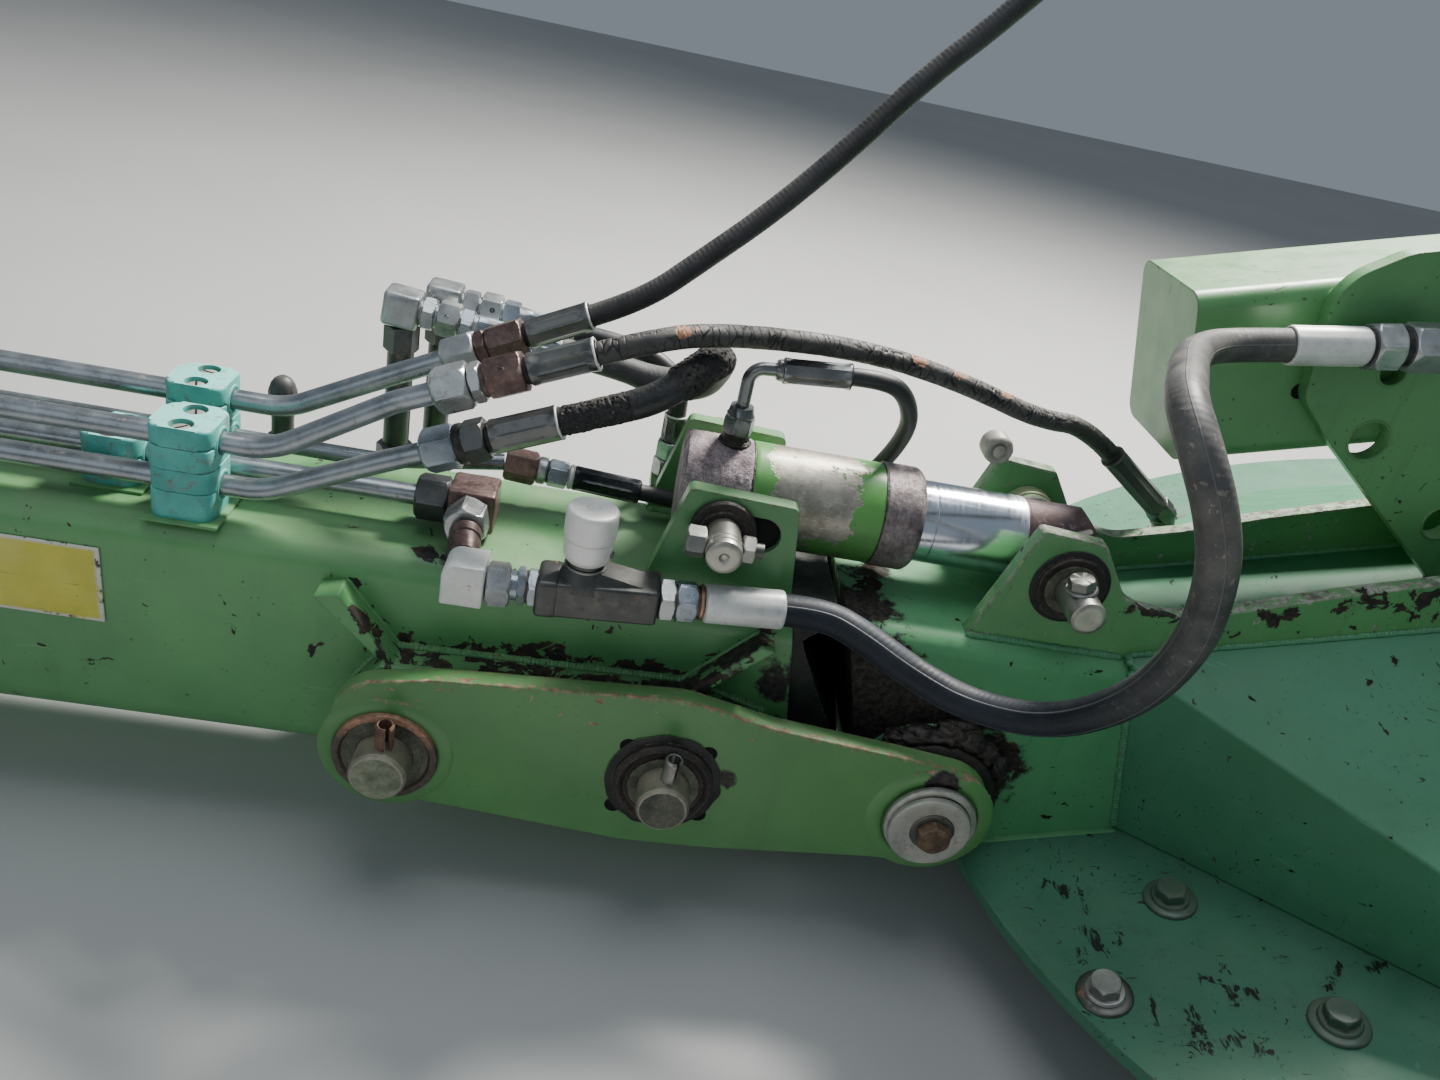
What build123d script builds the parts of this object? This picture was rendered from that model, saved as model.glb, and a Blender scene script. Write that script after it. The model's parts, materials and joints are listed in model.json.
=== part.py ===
from build123d import *
import os
import math

# Rotor arm joint of a rotary rake: boom end, link plates, hinged head, lift cylinder, pipes and hoses.
# Built in a pin frame: x along the boom, y away from the viewer, z up, origin at the middle link pin.
# Every solid is moved at the end to the row frame, whose origin is the centre of the boom's end flange.

os.makedirs("parts", exist_ok=True)

# ---------------------------------------------------------------- driving dimensions (mm)
MID_Y = 116.0                 # plane of symmetry of boom, head and cylinder
BOOM_Y0, BOOM_Y1 = 40.0, 192.0
BOOM_Z0, BOOM_Z1 = -47.0, 120.0
BOOM_WALL = 8.0
BOOM_CORNER = 20.0
FLANGE_X0, FLANGE_X1 = -720.0, -705.0
FLANGE_HALF = 112.0
FLANGE_HOLE = 88.0            # half spacing of the flange's holes
FLANGE_HOLE_R = 9.0
END_X, END_Z, END_SLOPE = 66.0, 135.0, 0.17   # slanted right end of the boom

PIN_L = (-188.0, -7.0)        # link pins, x and z
PIN_M = (0.0, 0.0)
PIN_R = (192.0, -3.0)         # hinge of the head
PIN_L_R, PIN_M_R, PIN_R_R = 19.0, 18.0, 20.0
LINK_T = 15.0                 # link plate thickness, front plate at y 0..15
HEAD_TILT = 16.0              # the head rises to the right in the photograph

BASE_PIN = (9.0, 173.5)       # cylinder's pin on the boom, x and z
ROD_PIN_H = (105.2, 152.9)    # cylinder's pin on the head, in the head's own frame
CYL_PIN_R = 12.0
EAR_T = 12.0
EAR_Y = (52.0, 168.0)         # front faces of the two ears
BARREL_R, ROD_R = 37.5, 30.0

PIPE_R = 7.2
HOSE_R = {"hose_main": 11.0, "hose_loop": 9.2, "hose_upper": 7.4, "hose_long": 7.4, "hose_back": 7.4, "port_hose": 6.3}

ROT_X, ROT_Y = 531.0, MID_Y   # rotor axis in the head's frame
PLATE_R, PLATE_T = 512.0, 12.0
PLATE_Z = -62.0               # top of the base plate
SHELL_Z = 90.0                # top of the shell cover

TO_ROW = Location((-FLANGE_X0, -MID_Y, -(BOOM_Z0 + BOOM_Z1) / 2))
HEAD = Location((PIN_R[0], 0, PIN_R[1]), (0, -HEAD_TILT, 0))

nodes = {}


def put(name, shape, frame=None):
    """Store a node's solids, given in the pin frame or in the head's frame."""
    items = shape if isinstance(shape, (list, tuple)) else [shape]
    solids = []
    for it in items:
        for s in it.solids():
            if frame is not None:
                s = s.moved(frame)
            solids.append(s.moved(TO_ROW))
    nodes.setdefault(name, []).extend(solids)


def box(x0, x1, y0, y1, z0, z1):
    return Pos((x0 + x1) / 2, (y0 + y1) / 2, (z0 + z1) / 2) * Box(x1 - x0, y1 - y0, z1 - z0)


def cyl_y(x, z, r, y0, y1):
    return Pos(x, (y0 + y1) / 2, z) * Rot(90, 0, 0) * Cylinder(r, y1 - y0)


def cyl_x(y, z, r, x0, x1):
    return Pos((x0 + x1) / 2, y, z) * Rot(0, 90, 0) * Cylinder(r, x1 - x0)


def cyl_z(x, y, r, z0, z1):
    return Pos(x, y, (z0 + z1) / 2) * Cylinder(r, z1 - z0)


def prism_y(points, y0, y1, radii=None):
    """Polygon in x,z pulled from y0 to y1; radii lists one corner radius per point."""
    pl = Plane(origin=(0, y1, 0), x_dir=(1, 0, 0), z_dir=(0, -1, 0))
    face = make_face(Polyline(*points, close=True))
    if radii:
        for p, r in zip(points, radii):
            if r > 0:
                v = min(face.vertices(), key=lambda q: (q.X - p[0]) ** 2 + (q.Y - p[1]) ** 2)
                face = fillet(v, r) if hasattr(face, "vertices") else face
                face = face.faces()[0] if not isinstance(face, Face) else face
    return extrude(pl * face, y1 - y0)


def between(a, b, r, sides=0):
    """Round bar, or a hexagon bar with across-corner radius r, from a to b."""
    a, b = Vector(*a), Vector(*b)
    d = b - a
    pl = Plane(origin=a, z_dir=d)
    prof = pl * (RegularPolygon(r, sides) if sides else Circle(r))
    return extrude(prof, d.length)


def ring_between(a, b, r_out, r_in, sides=0):
    return between(a, b, r_out, sides) - between(a, b, r_in)


def corner_radii(points, share=0.45, floor=0.0):
    """Bend radii of a run of points: 0.45 of the shorter run over the tangent of half the turn."""
    v = [Vector(*p) for p in points]
    out = []
    for i in range(1, len(v) - 1):
        a, b = v[i] - v[i - 1], v[i + 1] - v[i]
        turn = math.radians(a.get_angle(b))
        out.append(share * min(a.length, b.length) / math.tan(turn / 2))
    return out


def tube_path(points, r, label=None, fixed=None):
    """Tube along straight runs joined by tangent arcs."""
    radii = corner_radii(points)
    if fixed:
        radii = [min(f, q) for f, q in zip(fixed, radii)]
    line = FilletPolyline(*points, radius=radii)
    start = Plane(origin=line @ 0, z_dir=line % 0)
    body = sweep(start * Circle(r), path=line)
    body = body.solids()[0] if len(body.solids()) == 1 else body
    if label:
        want = math.pi * r * r * line.length
        print(label, "length %.0f mm" % line.length, "radii", [round(q) for q in radii],
              "volume/want %.3f" % (body.volume / want))
    return body


def along(a, b, t):
    return tuple(p + (q - p) * t for p, q in zip(a, b))


def unit(a, b):
    d = [q - p for p, q in zip(a, b)]
    n = math.sqrt(sum(c * c for c in d))
    return [c / n for c in d]


def step(a, u, s):
    return tuple(p + c * s for p, c in zip(a, u))


# ---------------------------------------------------------------- boom
def boom_end(z):
    return END_X + (END_Z - z) * END_SLOPE


def boom_bar(inset, x0, shorten):
    w, h = BOOM_Y1 - BOOM_Y0 - 2 * inset, BOOM_Z1 - BOOM_Z0 - 2 * inset
    pl = Plane(origin=(x0, MID_Y, (BOOM_Z0 + BOOM_Z1) / 2), x_dir=(0, 1, 0), z_dir=(1, 0, 0))
    bar = extrude(pl * RectangleRounded(w, h, BOOM_CORNER - inset), 900)
    cut = prism_y([(boom_end(200) - shorten, 200), (400, 200), (400, -200),
                   (boom_end(-200) - shorten, -200)], 0, 240)
    return bar - cut


boom = boom_bar(0, FLANGE_X1, 0) - boom_bar(BOOM_WALL, FLANGE_X1 + BOOM_WALL, 22)
for (px, pz), r in ((PIN_L, PIN_L_R), (PIN_M, PIN_M_R)):
    boom -= cyl_y(px, pz, r, 0, 240)
put("boom_tube", boom)

flange = box(FLANGE_X0, FLANGE_X1, MID_Y - FLANGE_HALF, MID_Y + FLANGE_HALF,
             36.5 - FLANGE_HALF, 36.5 + FLANGE_HALF)
flange = fillet(flange.edges().filter_by(Axis.X), 14)
for sy in (-1, 1):
    for sz in (-1, 1):
        flange -= cyl_x(MID_Y + sy * FLANGE_HOLE, 36.5 + sz * FLANGE_HOLE, FLANGE_HOLE_R, -730, -700)
put("boom_flange", flange)

# cheeks that carry the link plates, with the ledge and the two slanted ribs above it
CHEEK = [(-222, -38), (-222, 20), (-199, 52), (10, 58), (66, 40), (72, -40)]
LEFT_RIB = [(-199, 52), (-190, 52), (-228, 100), (-244, 96)]
RIGHT_RIB = [(0, 57), (10, 58), (58, 106), (48, 108)]
for y0, y1 in ((LINK_T, BOOM_Y0), (BOOM_Y1, 2 * MID_Y - LINK_T)):
    cheek = prism_y(CHEEK, y0, y1) - cyl_y(*PIN_L, PIN_L_R, y0 - 1, y1 + 1) - cyl_y(*PIN_M, PIN_M_R, y0 - 1, y1 + 1)
    wall = BOOM_Y0 if y0 < MID_Y else BOOM_Y1
    outer = y0 + 4 if y0 < MID_Y else y1 - 4
    for rib in (LEFT_RIB, RIGHT_RIB):
        cheek += prism_y(rib, min(wall, outer), max(wall, outer))
    put("link_cheeks", cheek)

# link plates, front and rear
LINK = [(-226, -41), (-226, 44), (-160, 58), (4, 70), (68, 57), (160, 48), (234, 39),
        (234, -45), (160, -45), (37, -57), (-21, -59), (-120, -50)]
LINK_FILLET = [34, 34, 60, 60, 60, 40, 40, 40, 40, 60, 60, 60]
for name, y0 in (("link_plate_front", 0.0), ("link_plate_rear", 2 * MID_Y - LINK_T)):
    plate = prism_y(LINK, y0, y0 + LINK_T, LINK_FILLET)
    for (px, pz), r in ((PIN_L, PIN_L_R), (PIN_M, PIN_M_R), (PIN_R, PIN_R_R)):
        plate -= cyl_y(px, pz, r, y0 - 1, y0 + LINK_T + 1)
    put(name, plate)

LINK_BACK = 2 * MID_Y           # outer face of the rear link plate
put("link_pins", [cyl_y(*PIN_L, PIN_L_R, -27, LINK_BACK + 27), cyl_y(*PIN_M, PIN_M_R, -30, LINK_BACK + 30)])
put("hinge_pin", cyl_y(*PIN_R, PIN_R_R, -2, LINK_BACK + 2))
for (px, pz), r, ro, t in ((PIN_L, PIN_L_R, 35, 6), (PIN_M, PIN_M_R, 36, 8)):
    for y0, y1 in ((-t, 0), (LINK_BACK, LINK_BACK + t)):
        put("pin_washers", cyl_y(px, pz, ro, y0, y1) - cyl_y(px, pz, r, y0 - 1, y1 + 1))
for y0, y1, ro in ((-7, -2, 33), (-12.5, -7.5, 32), (LINK_BACK + 2, LINK_BACK + 7, 33), (LINK_BACK + 7.5, LINK_BACK + 12.5, 32)):
    put("hinge_washers", cyl_y(*PIN_R, ro, y0, y1))
put("hinge_washers", [cyl_y(*PIN_R, 9, -7.5, -7), cyl_y(*PIN_R, 9, LINK_BACK + 7, LINK_BACK + 7.5)])

# ears for the cylinder on the boom, with a shallow keyhole beside the pin
EAR = [(-17, 200), (56, 197), (boom_end(BOOM_Z1) - 2, BOOM_Z1), (-38, BOOM_Z1)]
for y0 in EAR_Y:
    ear = prism_y(EAR, y0, y0 + EAR_T, [5, 5, 0, 0]) - cyl_y(*BASE_PIN, CYL_PIN_R, y0 - 1, y0 + EAR_T + 1)
    fy0, fy1 = (y0 - 1, y0 + 5) if y0 < MID_Y else (y0 + EAR_T - 5, y0 + EAR_T + 1)
    ear -= cyl_y(BASE_PIN[0] + 26, BASE_PIN[1], 13, fy0, fy1) + box(BASE_PIN[0] + 13, BASE_PIN[0] + 26, fy0, fy1, BASE_PIN[1] - 13, BASE_PIN[1] + 13)
    if y0 > MID_Y:
        ear += box(-37, -14, y0 + EAR_T - 2, y0 + EAR_T + 34, 124, 136)   # block for the back hose's fitting
    put("boom_ears", ear)
put("base_pin", cyl_y(*BASE_PIN, CYL_PIN_R, 14, LINK_BACK - 14))
for y0, y1 in ((EAR_Y[0] - 6, EAR_Y[0]), (EAR_Y[1] + EAR_T, EAR_Y[1] + EAR_T + 6)):
    put("base_pin_rings", cyl_y(*BASE_PIN, 20, y0, y1) - cyl_y(*BASE_PIN, CYL_PIN_R, y0 - 1, y1 + 1))

put("sticker_plate", box(-640, -383, BOOM_Y0 - 1.5, BOOM_Y0, 38, 95))
put("breather_cap", cyl_z(-311, 172, 8, BOOM_Z1, 152) + cyl_z(-311, 172, 11, 152, 167) + Pos(-311, 172, 167) * Sphere(10))

# ---------------------------------------------------------------- cylinder
def cyl_axis():
    h = Vector(ROD_PIN_H[0], 0, ROD_PIN_H[1])
    a = math.radians(HEAD_TILT)
    x = PIN_R[0] + h.X * math.cos(a) - h.Z * math.sin(a)
    z = PIN_R[1] + h.X * math.sin(a) + h.Z * math.cos(a)
    return (x, z)


ROD_PIN = cyl_axis()
PIN_SPAN = math.hypot(ROD_PIN[0] - BASE_PIN[0], ROD_PIN[1] - BASE_PIN[1])
CYL_UP = math.degrees(math.atan2(ROD_PIN[1] - BASE_PIN[1], ROD_PIN[0] - BASE_PIN[0]))
CYL = Location((BASE_PIN[0], MID_Y, BASE_PIN[1]), (0, -CYL_UP, 0))
print("rod pin", [round(c, 2) for c in ROD_PIN], "pin to pin %.2f" % PIN_SPAN, "rise %.3f deg" % CYL_UP)

# along the cylinder's own x axis, from the base pin
base_cap = cyl_x(0, 0, BARREL_R, -30, 18)
base_cap = base_cap & cyl_y(2, 0, 46, -60, 60)
base_cap = fillet(base_cap.edges().group_by(Axis.X)[0], 2)
base_cap -= cyl_y(0, 0, CYL_PIN_R + 0.06, -60, 60)
put("cylinder_base", base_cap, CYL)
tube = cyl_x(0, 0, BARREL_R - 1.0, 18, 112) - cyl_x(0, 0, ROD_R + 2.0, 34, 113)
put("cylinder_barrel", tube, CYL)
gland = cyl_x(0, 0, BARREL_R + 0.5, 112, 141) - cyl_x(0, 0, ROD_R + 0.05, 111, 142)
gland = chamfer(gland.edges().group_by(Axis.X)[-1].sort_by(SortBy.LENGTH)[-1], 2)
put("cylinder_gland", gland, CYL)

rod = cyl_x(0, 0, ROD_R, 72, PIN_SPAN - 23)
put("cylinder_rod", rod, CYL)
eye = cyl_x(0, 0, ROD_R - 0.5, PIN_SPAN - 23, PIN_SPAN + 31) & cyl_y(PIN_SPAN - 6, 0, 40, -60, 60)
eye -= cyl_y(PIN_SPAN, 0, CYL_PIN_R + 1.9, -60, 60)
put("rod_eye", eye, CYL)

# port elbow on the base end
port = between((3, 0, BARREL_R - 3), (3, 0, BARREL_R + 6), 9.5) - base_cap
port += between((3, 0, BARREL_R + 6), (3, 0, BARREL_R + 26), 11, 6)
put("port_fitting", port, CYL)
put("port_elbow", tube_path([(3, 0, BARREL_R + 26), (3, 0, 91.1), (24, 0, 93)], 4.6), CYL)
PF = unit((3, 0, 91.1), (24, 0, 93))
PF_END = step((24, 0, 93), PF, 47)
put("port_ferrule", between((24, 0, 93), PF_END, 8.8), CYL)

# ---------------------------------------------------------------- head (own frame: origin on the hinge, x along, z up)
BOX_X0, BOX_X1 = -47.0, 150.0
BOX_TOP0, BOX_TOP1 = 144.0, 88.0     # height of the box at its two ends
BOX_Z0 = PLATE_Z
HBOX = [(BOX_X0, BOX_Z0 + 4), (BOX_X0, BOX_TOP0), (BOX_X1, BOX_TOP1), (BOX_X1, BOX_Z0), (BOX_X0 + 60, BOX_Z0)]
hbox = prism_y(HBOX, BOOM_Y0, BOOM_Y1)
top_edges = [e for e in hbox.edges() if abs(e.center().Y - MID_Y) > 70 and e.center().Z > 100 and abs(e.center().X - 51) < 30]
hbox = fillet(top_edges, 14)
INNER = [(BOX_X0 + 8, BOX_Z0 + 12), (BOX_X0 + 8, BOX_TOP0 - 12), (BOX_X1 - 8, BOX_TOP1 - 6), (BOX_X1 - 8, BOX_Z0 + 8), (BOX_X0 + 60, BOX_Z0 + 8)]
hbox -= prism_y(INNER, BOOM_Y0 + 8, BOOM_Y1 - 8)
hbox -= cyl_y(0, 0, PIN_R_R + 0.06, 0, 240)
put("head_box", hbox, HEAD)
for y0, y1 in ((LINK_T + 1, BOOM_Y0), (BOOM_Y1, 2 * MID_Y - LINK_T - 1)):
    put("hinge_bosses", cyl_y(0, 0, 52, y0, y1) - cyl_y(0, 0, PIN_R_R + 0.06, y0 - 1, y1 + 1), HEAD)

WALL = [(35, 115.0), (86, 198), (129, 182), (146, 134), (181, 120), (230, 120), (300, 126), (420, 131), (700, 131), (740, SHELL_Z), (BOX_X1, SHELL_Z)]
WALL_FILLET = [0, 4, 4, 30, 30, 0, 0, 0, 12, 0, 0]


def box_top(x):
    return BOX_TOP0 + (BOX_TOP1 - BOX_TOP0) * (x - BOX_X0) / (BOX_X1 - BOX_X0)


WALL[0] = (35, box_top(35) + 0.0)
WALL.append((BOX_X1, BOX_TOP1))
for name, y0 in (("head_wall_front", EAR_Y[0]), ("head_wall_rear", EAR_Y[1])):
    pts = WALL[:10] + [(BOX_X1, SHELL_Z), (BOX_X1 - 2, box_top(BOX_X1 - 2))]
    wall = prism_y(pts, y0, y0 + EAR_T, WALL_FILLET[:10] + [0, 0])
    wall -= prism_y(HBOX, y0 - 1, y0 + EAR_T + 1)
    wall -= cyl_y(*ROD_PIN_H, CYL_PIN_R, y0 - 1, y0 + EAR_T + 1)
    put(name, wall, HEAD)
put("rod_pin", cyl_y(*ROD_PIN_H, CYL_PIN_R, 10, LINK_BACK - 10), HEAD)
for y0, y1 in ((EAR_Y[0] - 5, EAR_Y[0]), (EAR_Y[1] + EAR_T, EAR_Y[1] + EAR_T + 5)):
    put("rod_pin_washers", cyl_y(*ROD_PIN_H, 24, y0, y1) - cyl_y(*ROD_PIN_H, CYL_PIN_R, y0 - 1, y1 + 1), HEAD)
for y0, y1 in ((EAR_Y[0] + EAR_T, MID_Y - 32), (MID_Y + 32, EAR_Y[1])):
    put("rod_pin_spacers", cyl_y(*ROD_PIN_H, 19, y0, y1) - cyl_y(*ROD_PIN_H, CYL_PIN_R, y0 - 1, y1 + 1), HEAD)


def hull(base, zb, top, zt):
    """Solid between two parallel polygons: each top edge or corner joins the base by flat faces."""
    b = [Vector(x, y, zb) for x, y in base]
    t = [Vector(x, y, zt) for x, y in top]
    faces = []

    def face(*pts):
        faces.append(Face(Wire.make_polygon(list(pts), close=True)))
    face(*b)
    face(*t)
    # base: L-front, front-L, front-R, R-front, R-rear, rear-R, rear-L, L-rear ; top: LF, RF, RR, LR
    face(b[0], b[1], t[0])
    face(b[1], b[2], t[1], t[0])
    face(b[2], b[3], t[1])
    face(b[3], b[4], t[2], t[1])
    face(b[4], b[5], t[2])
    face(b[5], b[6], t[3], t[2])
    face(b[6], b[7], t[3])
    face(b[7], b[0], t[0], t[3])
    return Solid(Shell(faces))


SX1 = 2 * ROT_X - BOX_X1
SBASE = [(BOX_X1, 40), (494, -323), (568, -323), (SX1, 40), (SX1, 192), (568, 555), (494, 555), (BOX_X1, 192)]
STOP = [(BOX_X1, 40), (SX1, 40), (SX1, 192), (BOX_X1, 192)]
shell = hull(SBASE, PLATE_Z, STOP, SHELL_Z)
cx, cy = ROT_X, MID_Y
inner = hull([(cx + (x - cx) * 0.955, cy + (y - cy) * 0.955) for x, y in SBASE], PLATE_Z - 1,
             [(cx + (x - cx) * 0.955, cy + (y - cy) * 0.80) for x, y in STOP], SHELL_Z - 8)
put("shell_cover", shell - inner, HEAD)

plate = cyl_z(ROT_X, ROT_Y, PLATE_R, PLATE_Z - PLATE_T, PLATE_Z)
PLATE_BOLT_PCD_R, PLATE_BOLTS = 395.4, 20
BOLT_A0 = math.degrees(math.atan2(-150, -366))
for i in range(PLATE_BOLTS):
    a = math.radians(BOLT_A0 + i * 360 / PLATE_BOLTS)
    plate -= cyl_z(ROT_X + PLATE_BOLT_PCD_R * math.cos(a), ROT_Y + PLATE_BOLT_PCD_R * math.sin(a), 7.0, PLATE_Z - PLATE_T - 1, PLATE_Z + 1)
put("base_plate", plate, HEAD)

carrier = prism_y([(400, SHELL_Z), (300, 215), (276, 250), (284, 330), (330, 346), (700, 346), (760, 290), (700, SHELL_Z)], 110, 122,
                  [0, 20, 20, 36, 30, 40, 40, 0])
for hx, hz, hr in ((333, 265, 9), (327, 215, 14), (393, 143, 12)):
    carrier -= cyl_y(hx, hz, hr, 109, 123)
put("carrier_plate", carrier, HEAD)
beam_pl = Plane(origin=(200, 172, 265), x_dir=(0, 1, 0), z_dir=(1, 0, 0))
beam = extrude(beam_pl * RectangleRounded(100, 124, 12), 540) - extrude(Plane(origin=(190, 172, 265), x_dir=(0, 1, 0), z_dir=(1, 0, 0)) * RectangleRounded(84, 108, 5), 560)
beam += extrude(beam_pl * RectangleRounded(98, 122, 11), 8)
put("carrier_beam", beam, HEAD)

# ---------------------------------------------------------------- pipes and clamps on the boom
CLAMPS = {  # name: x0, x1, y0, y1, pipe heights, top
    "pipe_clamp_front": (-354, -314, 40 + 4, 84, (141.5, 172.0), 186),
    "pipe_clamp_rear": (-372, -332, 114, 154, (141.5, 170.0), 184),
    "pipe_clamp_small": (-410, -372, 74, 112, (141.0,), 157),
}
CLAMP_PIPE_Y = {"pipe_clamp_front": 64.0, "pipe_clamp_rear": 134.0, "pipe_clamp_small": 93.0}
for name, (x0, x1, y0, y1, zs, top) in CLAMPS.items():   # stacked plastic clamps
    block = box(x0, x1, y0, y1, BOOM_Z1, top)
    block = fillet(block.edges().filter_by(Axis.Z), 6)
    for z in zs:
        block -= cyl_x(CLAMP_PIPE_Y[name], z, PIPE_R, x0 - 1, x1 + 1)
    for y in (y0 + 8, y1 - 8):
        block -= cyl_z((x0 + x1) / 2, y, 5.5, top - 6, top + 1)
    put("pipe_clamps", block)

PIPES = {  # name: y, z, bend x, end x, end z, rise of the end in degrees
    "pipe_1": (134.0, 170.0, -296.0, -186.0, 228.5, 27.5),
    "pipe_2": (64.0, 172.0, -284.0, -178.0, 233.2, 24.5),
    "pipe_3": (64.0, 141.5, -288.0, -182.0, 190.9, 24.0),
}
UNIONS = {  # stations along the line from the pipe's end: nut 0..1, hexagon 2..3, ferrule 4..5, then radii of nut, hexagon, ferrule
    "pipe_1": (-5, 18, 27, 52, 54, 99, 15.0, 13.6, 9.8),
    "pipe_2": (-6, 17, 28, 52, 54, 98, 15.5, 14.2, 10.2),
    "pipe_3": (-6, 16, 21, 36, 38, 84, 15.0, 14.6, 11.2),
}
BACK_LINES = {  # first point, last point, stations of two nuts, hexagon and ferrule, ferrule radius
    "line_a": ((-231.0, 180.0, 241.0), (-118.0, 180.0, 229.7), (14, 23, 25, 40, 41, 50, 52), 9.2),
    "line_b": ((-207.5, 208.0, 242.0), (-111.0, 208.0, 235.5), (14, 25, 27, 42, 43, 55, 57), 8.6),
}
PH_END, PH_FOOT = (-45.0, 150.0, 142.0), (-145.7, 146.6, 150.0)   # small hose's end on the boom, and its fitting's foot
PH = unit(PH_END, PH_FOOT)
PIPE_LEFT = -690.0
FER_END = {}
for name, (y, z, xb, xe, ze, rise) in PIPES.items():
    u = (math.cos(math.radians(rise)), 0, math.sin(math.radians(rise)))
    end = (xe, y, ze)
    n0, n1, h0, h1, f0, f1, rn, rh, rf = UNIONS[name]
    put("pipes", tube_path([(PIPE_LEFT, y, z), (xb, y, z), step(end, u, -34), step(end, u, n0)], PIPE_R, fixed=[55, 60]))
    put("union_nuts", between(step(end, u, n0), step(end, u, n1), rn, 6))
    put("union_sleeves", [between(step(end, u, n1), step(end, u, h0), rh - 3.2), between(step(end, u, h1), step(end, u, f0), rf - 2.5)])
    put("union_hexes", between(step(end, u, h0), step(end, u, h1), rh, 6))
    put("hose_ferrules", between(step(end, u, f0), step(end, u, f1), rf))
    FER_END[name] = (step(end, u, f1), u)
put("pipes", between((PIPE_LEFT, 93, 141), (-196, 93, 141), PIPE_R))
put("pipes", tube_path([(PIPE_LEFT, 134, 141.5), (-235, 134, 141.5), step(PH_END, PH, 101)], 6.0, fixed=[60]))
for i, (y, z) in enumerate(((134, 170), (64, 172), (64, 141.5), (93, 141), (134, 141.5))):
    put("pipe_left_nuts", between((PIPE_LEFT - 15, y, z), (PIPE_LEFT, y, z), 13 if i < 4 else 11, 6))

# two elbow stacks on the far side of the boom, each with its line of nuts and a ferrule
for name, (a, b, st, rf) in BACK_LINES.items():
    u = unit(a, b)
    total = math.dist(a, b)
    cube = Pos(a[0], a[1], a[2]) * Rot(0, math.degrees(math.asin(-u[2])), 0) * Box(25, 24, 25)
    cube = fillet(cube.edges().filter_by(Axis.Y), 3)
    foot_z = 112 if name == "line_a" else 92
    stem = between((a[0], a[1], a[2] - 32), (a[0], a[1], a[2] - 13), 13, 6)
    stem += between((a[0], a[1], foot_z), (a[0], a[1], a[2] - 31), 9)
    if name == "line_b":
        stem += fillet(box(a[0] - 9, a[0] + 13, BOOM_Y1, a[1] + 14, 88, 104).edges().filter_by(Axis.Z), 5)
    put("rear_elbows", cube + (stem - boom))
    for k, (s0, s1, r) in enumerate(((st[0], st[1], 12.6), (st[2], st[3], 13.6), (st[4], st[5], 12.0))):
        put("union_nuts", between(step(a, u, s0), step(a, u, s1), r, 6))
        put("union_sleeves", between(step(a, u, s1), step(a, u, (st[2], st[4], st[6])[k]), 8.5))
    put("hose_ferrules", between(step(a, u, st[6]), b, rf))
    FER_END[name] = (b, u)

# T stack and check valve beside the boom
put("tee_hexes", between((-196, 93, 141), (-174, 93, 141), 16.5, 6))
put("tee_block", box(-174, -142, 78, 110, 126, 156))
put("tee_hexes", between((-158, 78, 141), (-158, 56, 141), 15, 6))
put("tee_sleeve", between((-156.7, 53.8, 139.7), (-153.3, 29, 136.2), 10.5))
put("elbow_block", fillet(box(-162, -135.6, 1, 27, 117, 146).edges().filter_by(Axis.Y).group_by(Axis.X)[0].sort_by(Axis.Z)[-1], 8))
V0 = (-141.7, 14.0, 129.0)
V1 = (57.0, 30.0, 133.0)
vu = unit(V0, V1)
put("valve_nuts", between(step(V0, vu, 7.6), step(V0, vu, 22), 15, 6))
put("valve_unions", between(step(V0, vu, 22), step(V0, vu, 38), 13, 6))
vb0, vb1 = step(V0, vu, 38), step(V0, vu, 116)
pv = Plane(origin=vb0, z_dir=Vector(*vu), x_dir=(0, 0, 1))
vbody = extrude(pv * RectangleRounded(25, 30, 4), 78)
kz = step(V0, vu, 66)
vbody += cyl_z(kz[0], kz[1], 13, kz[2], kz[2] + 26)
put("valve_body", vbody)
put("valve_knob", cyl_z(kz[0], kz[1], 17, kz[2] + 26, kz[2] + 60))
put("valve_nuts", between(vb1, step(V0, vu, 126), 15, 6))
put("valve_unions", between(step(V0, vu, 126), step(V0, vu, 146), 14, 6))
put("hose_ferrules", between(step(V0, vu, 146), V1, 13.2))

# ---------------------------------------------------------------- hoses
def hose(name, pts):
    put(name, tube_path(pts, HOSE_R[name], label=name))


def to_pin(p):
    """A point of the head's frame in the pin frame."""
    a = math.radians(HEAD_TILT)
    return (PIN_R[0] + p[0] * math.cos(a) - p[2] * math.sin(a), p[1], PIN_R[1] + p[0] * math.sin(a) + p[2] * math.cos(a))


def cyl_to_pin(p):
    """A point of the cylinder's frame in the pin frame."""
    a = math.radians(CYL_UP)
    return (BASE_PIN[0] + p[0] * math.cos(a) - p[2] * math.sin(a), MID_Y + p[1], BASE_PIN[1] + p[0] * math.sin(a) + p[2] * math.cos(a))


MF0, MFU = (347.0, 90.0, 352.5), unit((0, 0, 0), (1, 0, 0.17))
LONG_END, LONG_LAST = (314.0, 190.0, 220.0), (373.0, 204.0, 179.0)
LU = unit(LONG_END, LONG_LAST)
UP_END = (260.0, 204.0, 640.0)
b1, u1 = FER_END["pipe_1"]
b2, u2 = FER_END["pipe_2"]
b3, u3 = FER_END["pipe_3"]
ba, ua = FER_END["line_a"]
bb_, ub = FER_END["line_b"]
hose("hose_upper", [b1, step(b1, u1, 36), (-32, 146, 321), (8, 160, 357), (51, 174, 404), (92, 188, 455), (132, 198, 496), (172, 200, 546), (215, 203, 594), UP_END])
hose("hose_long", [b2, step(b2, u2, 30), (-28, 78, 293), (15, 102, 291), (68, 128, 286), (122, 146, 278), (179, 160, 264), (240, 172, 245), step(LONG_END, LU, -42), LONG_END])
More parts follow.
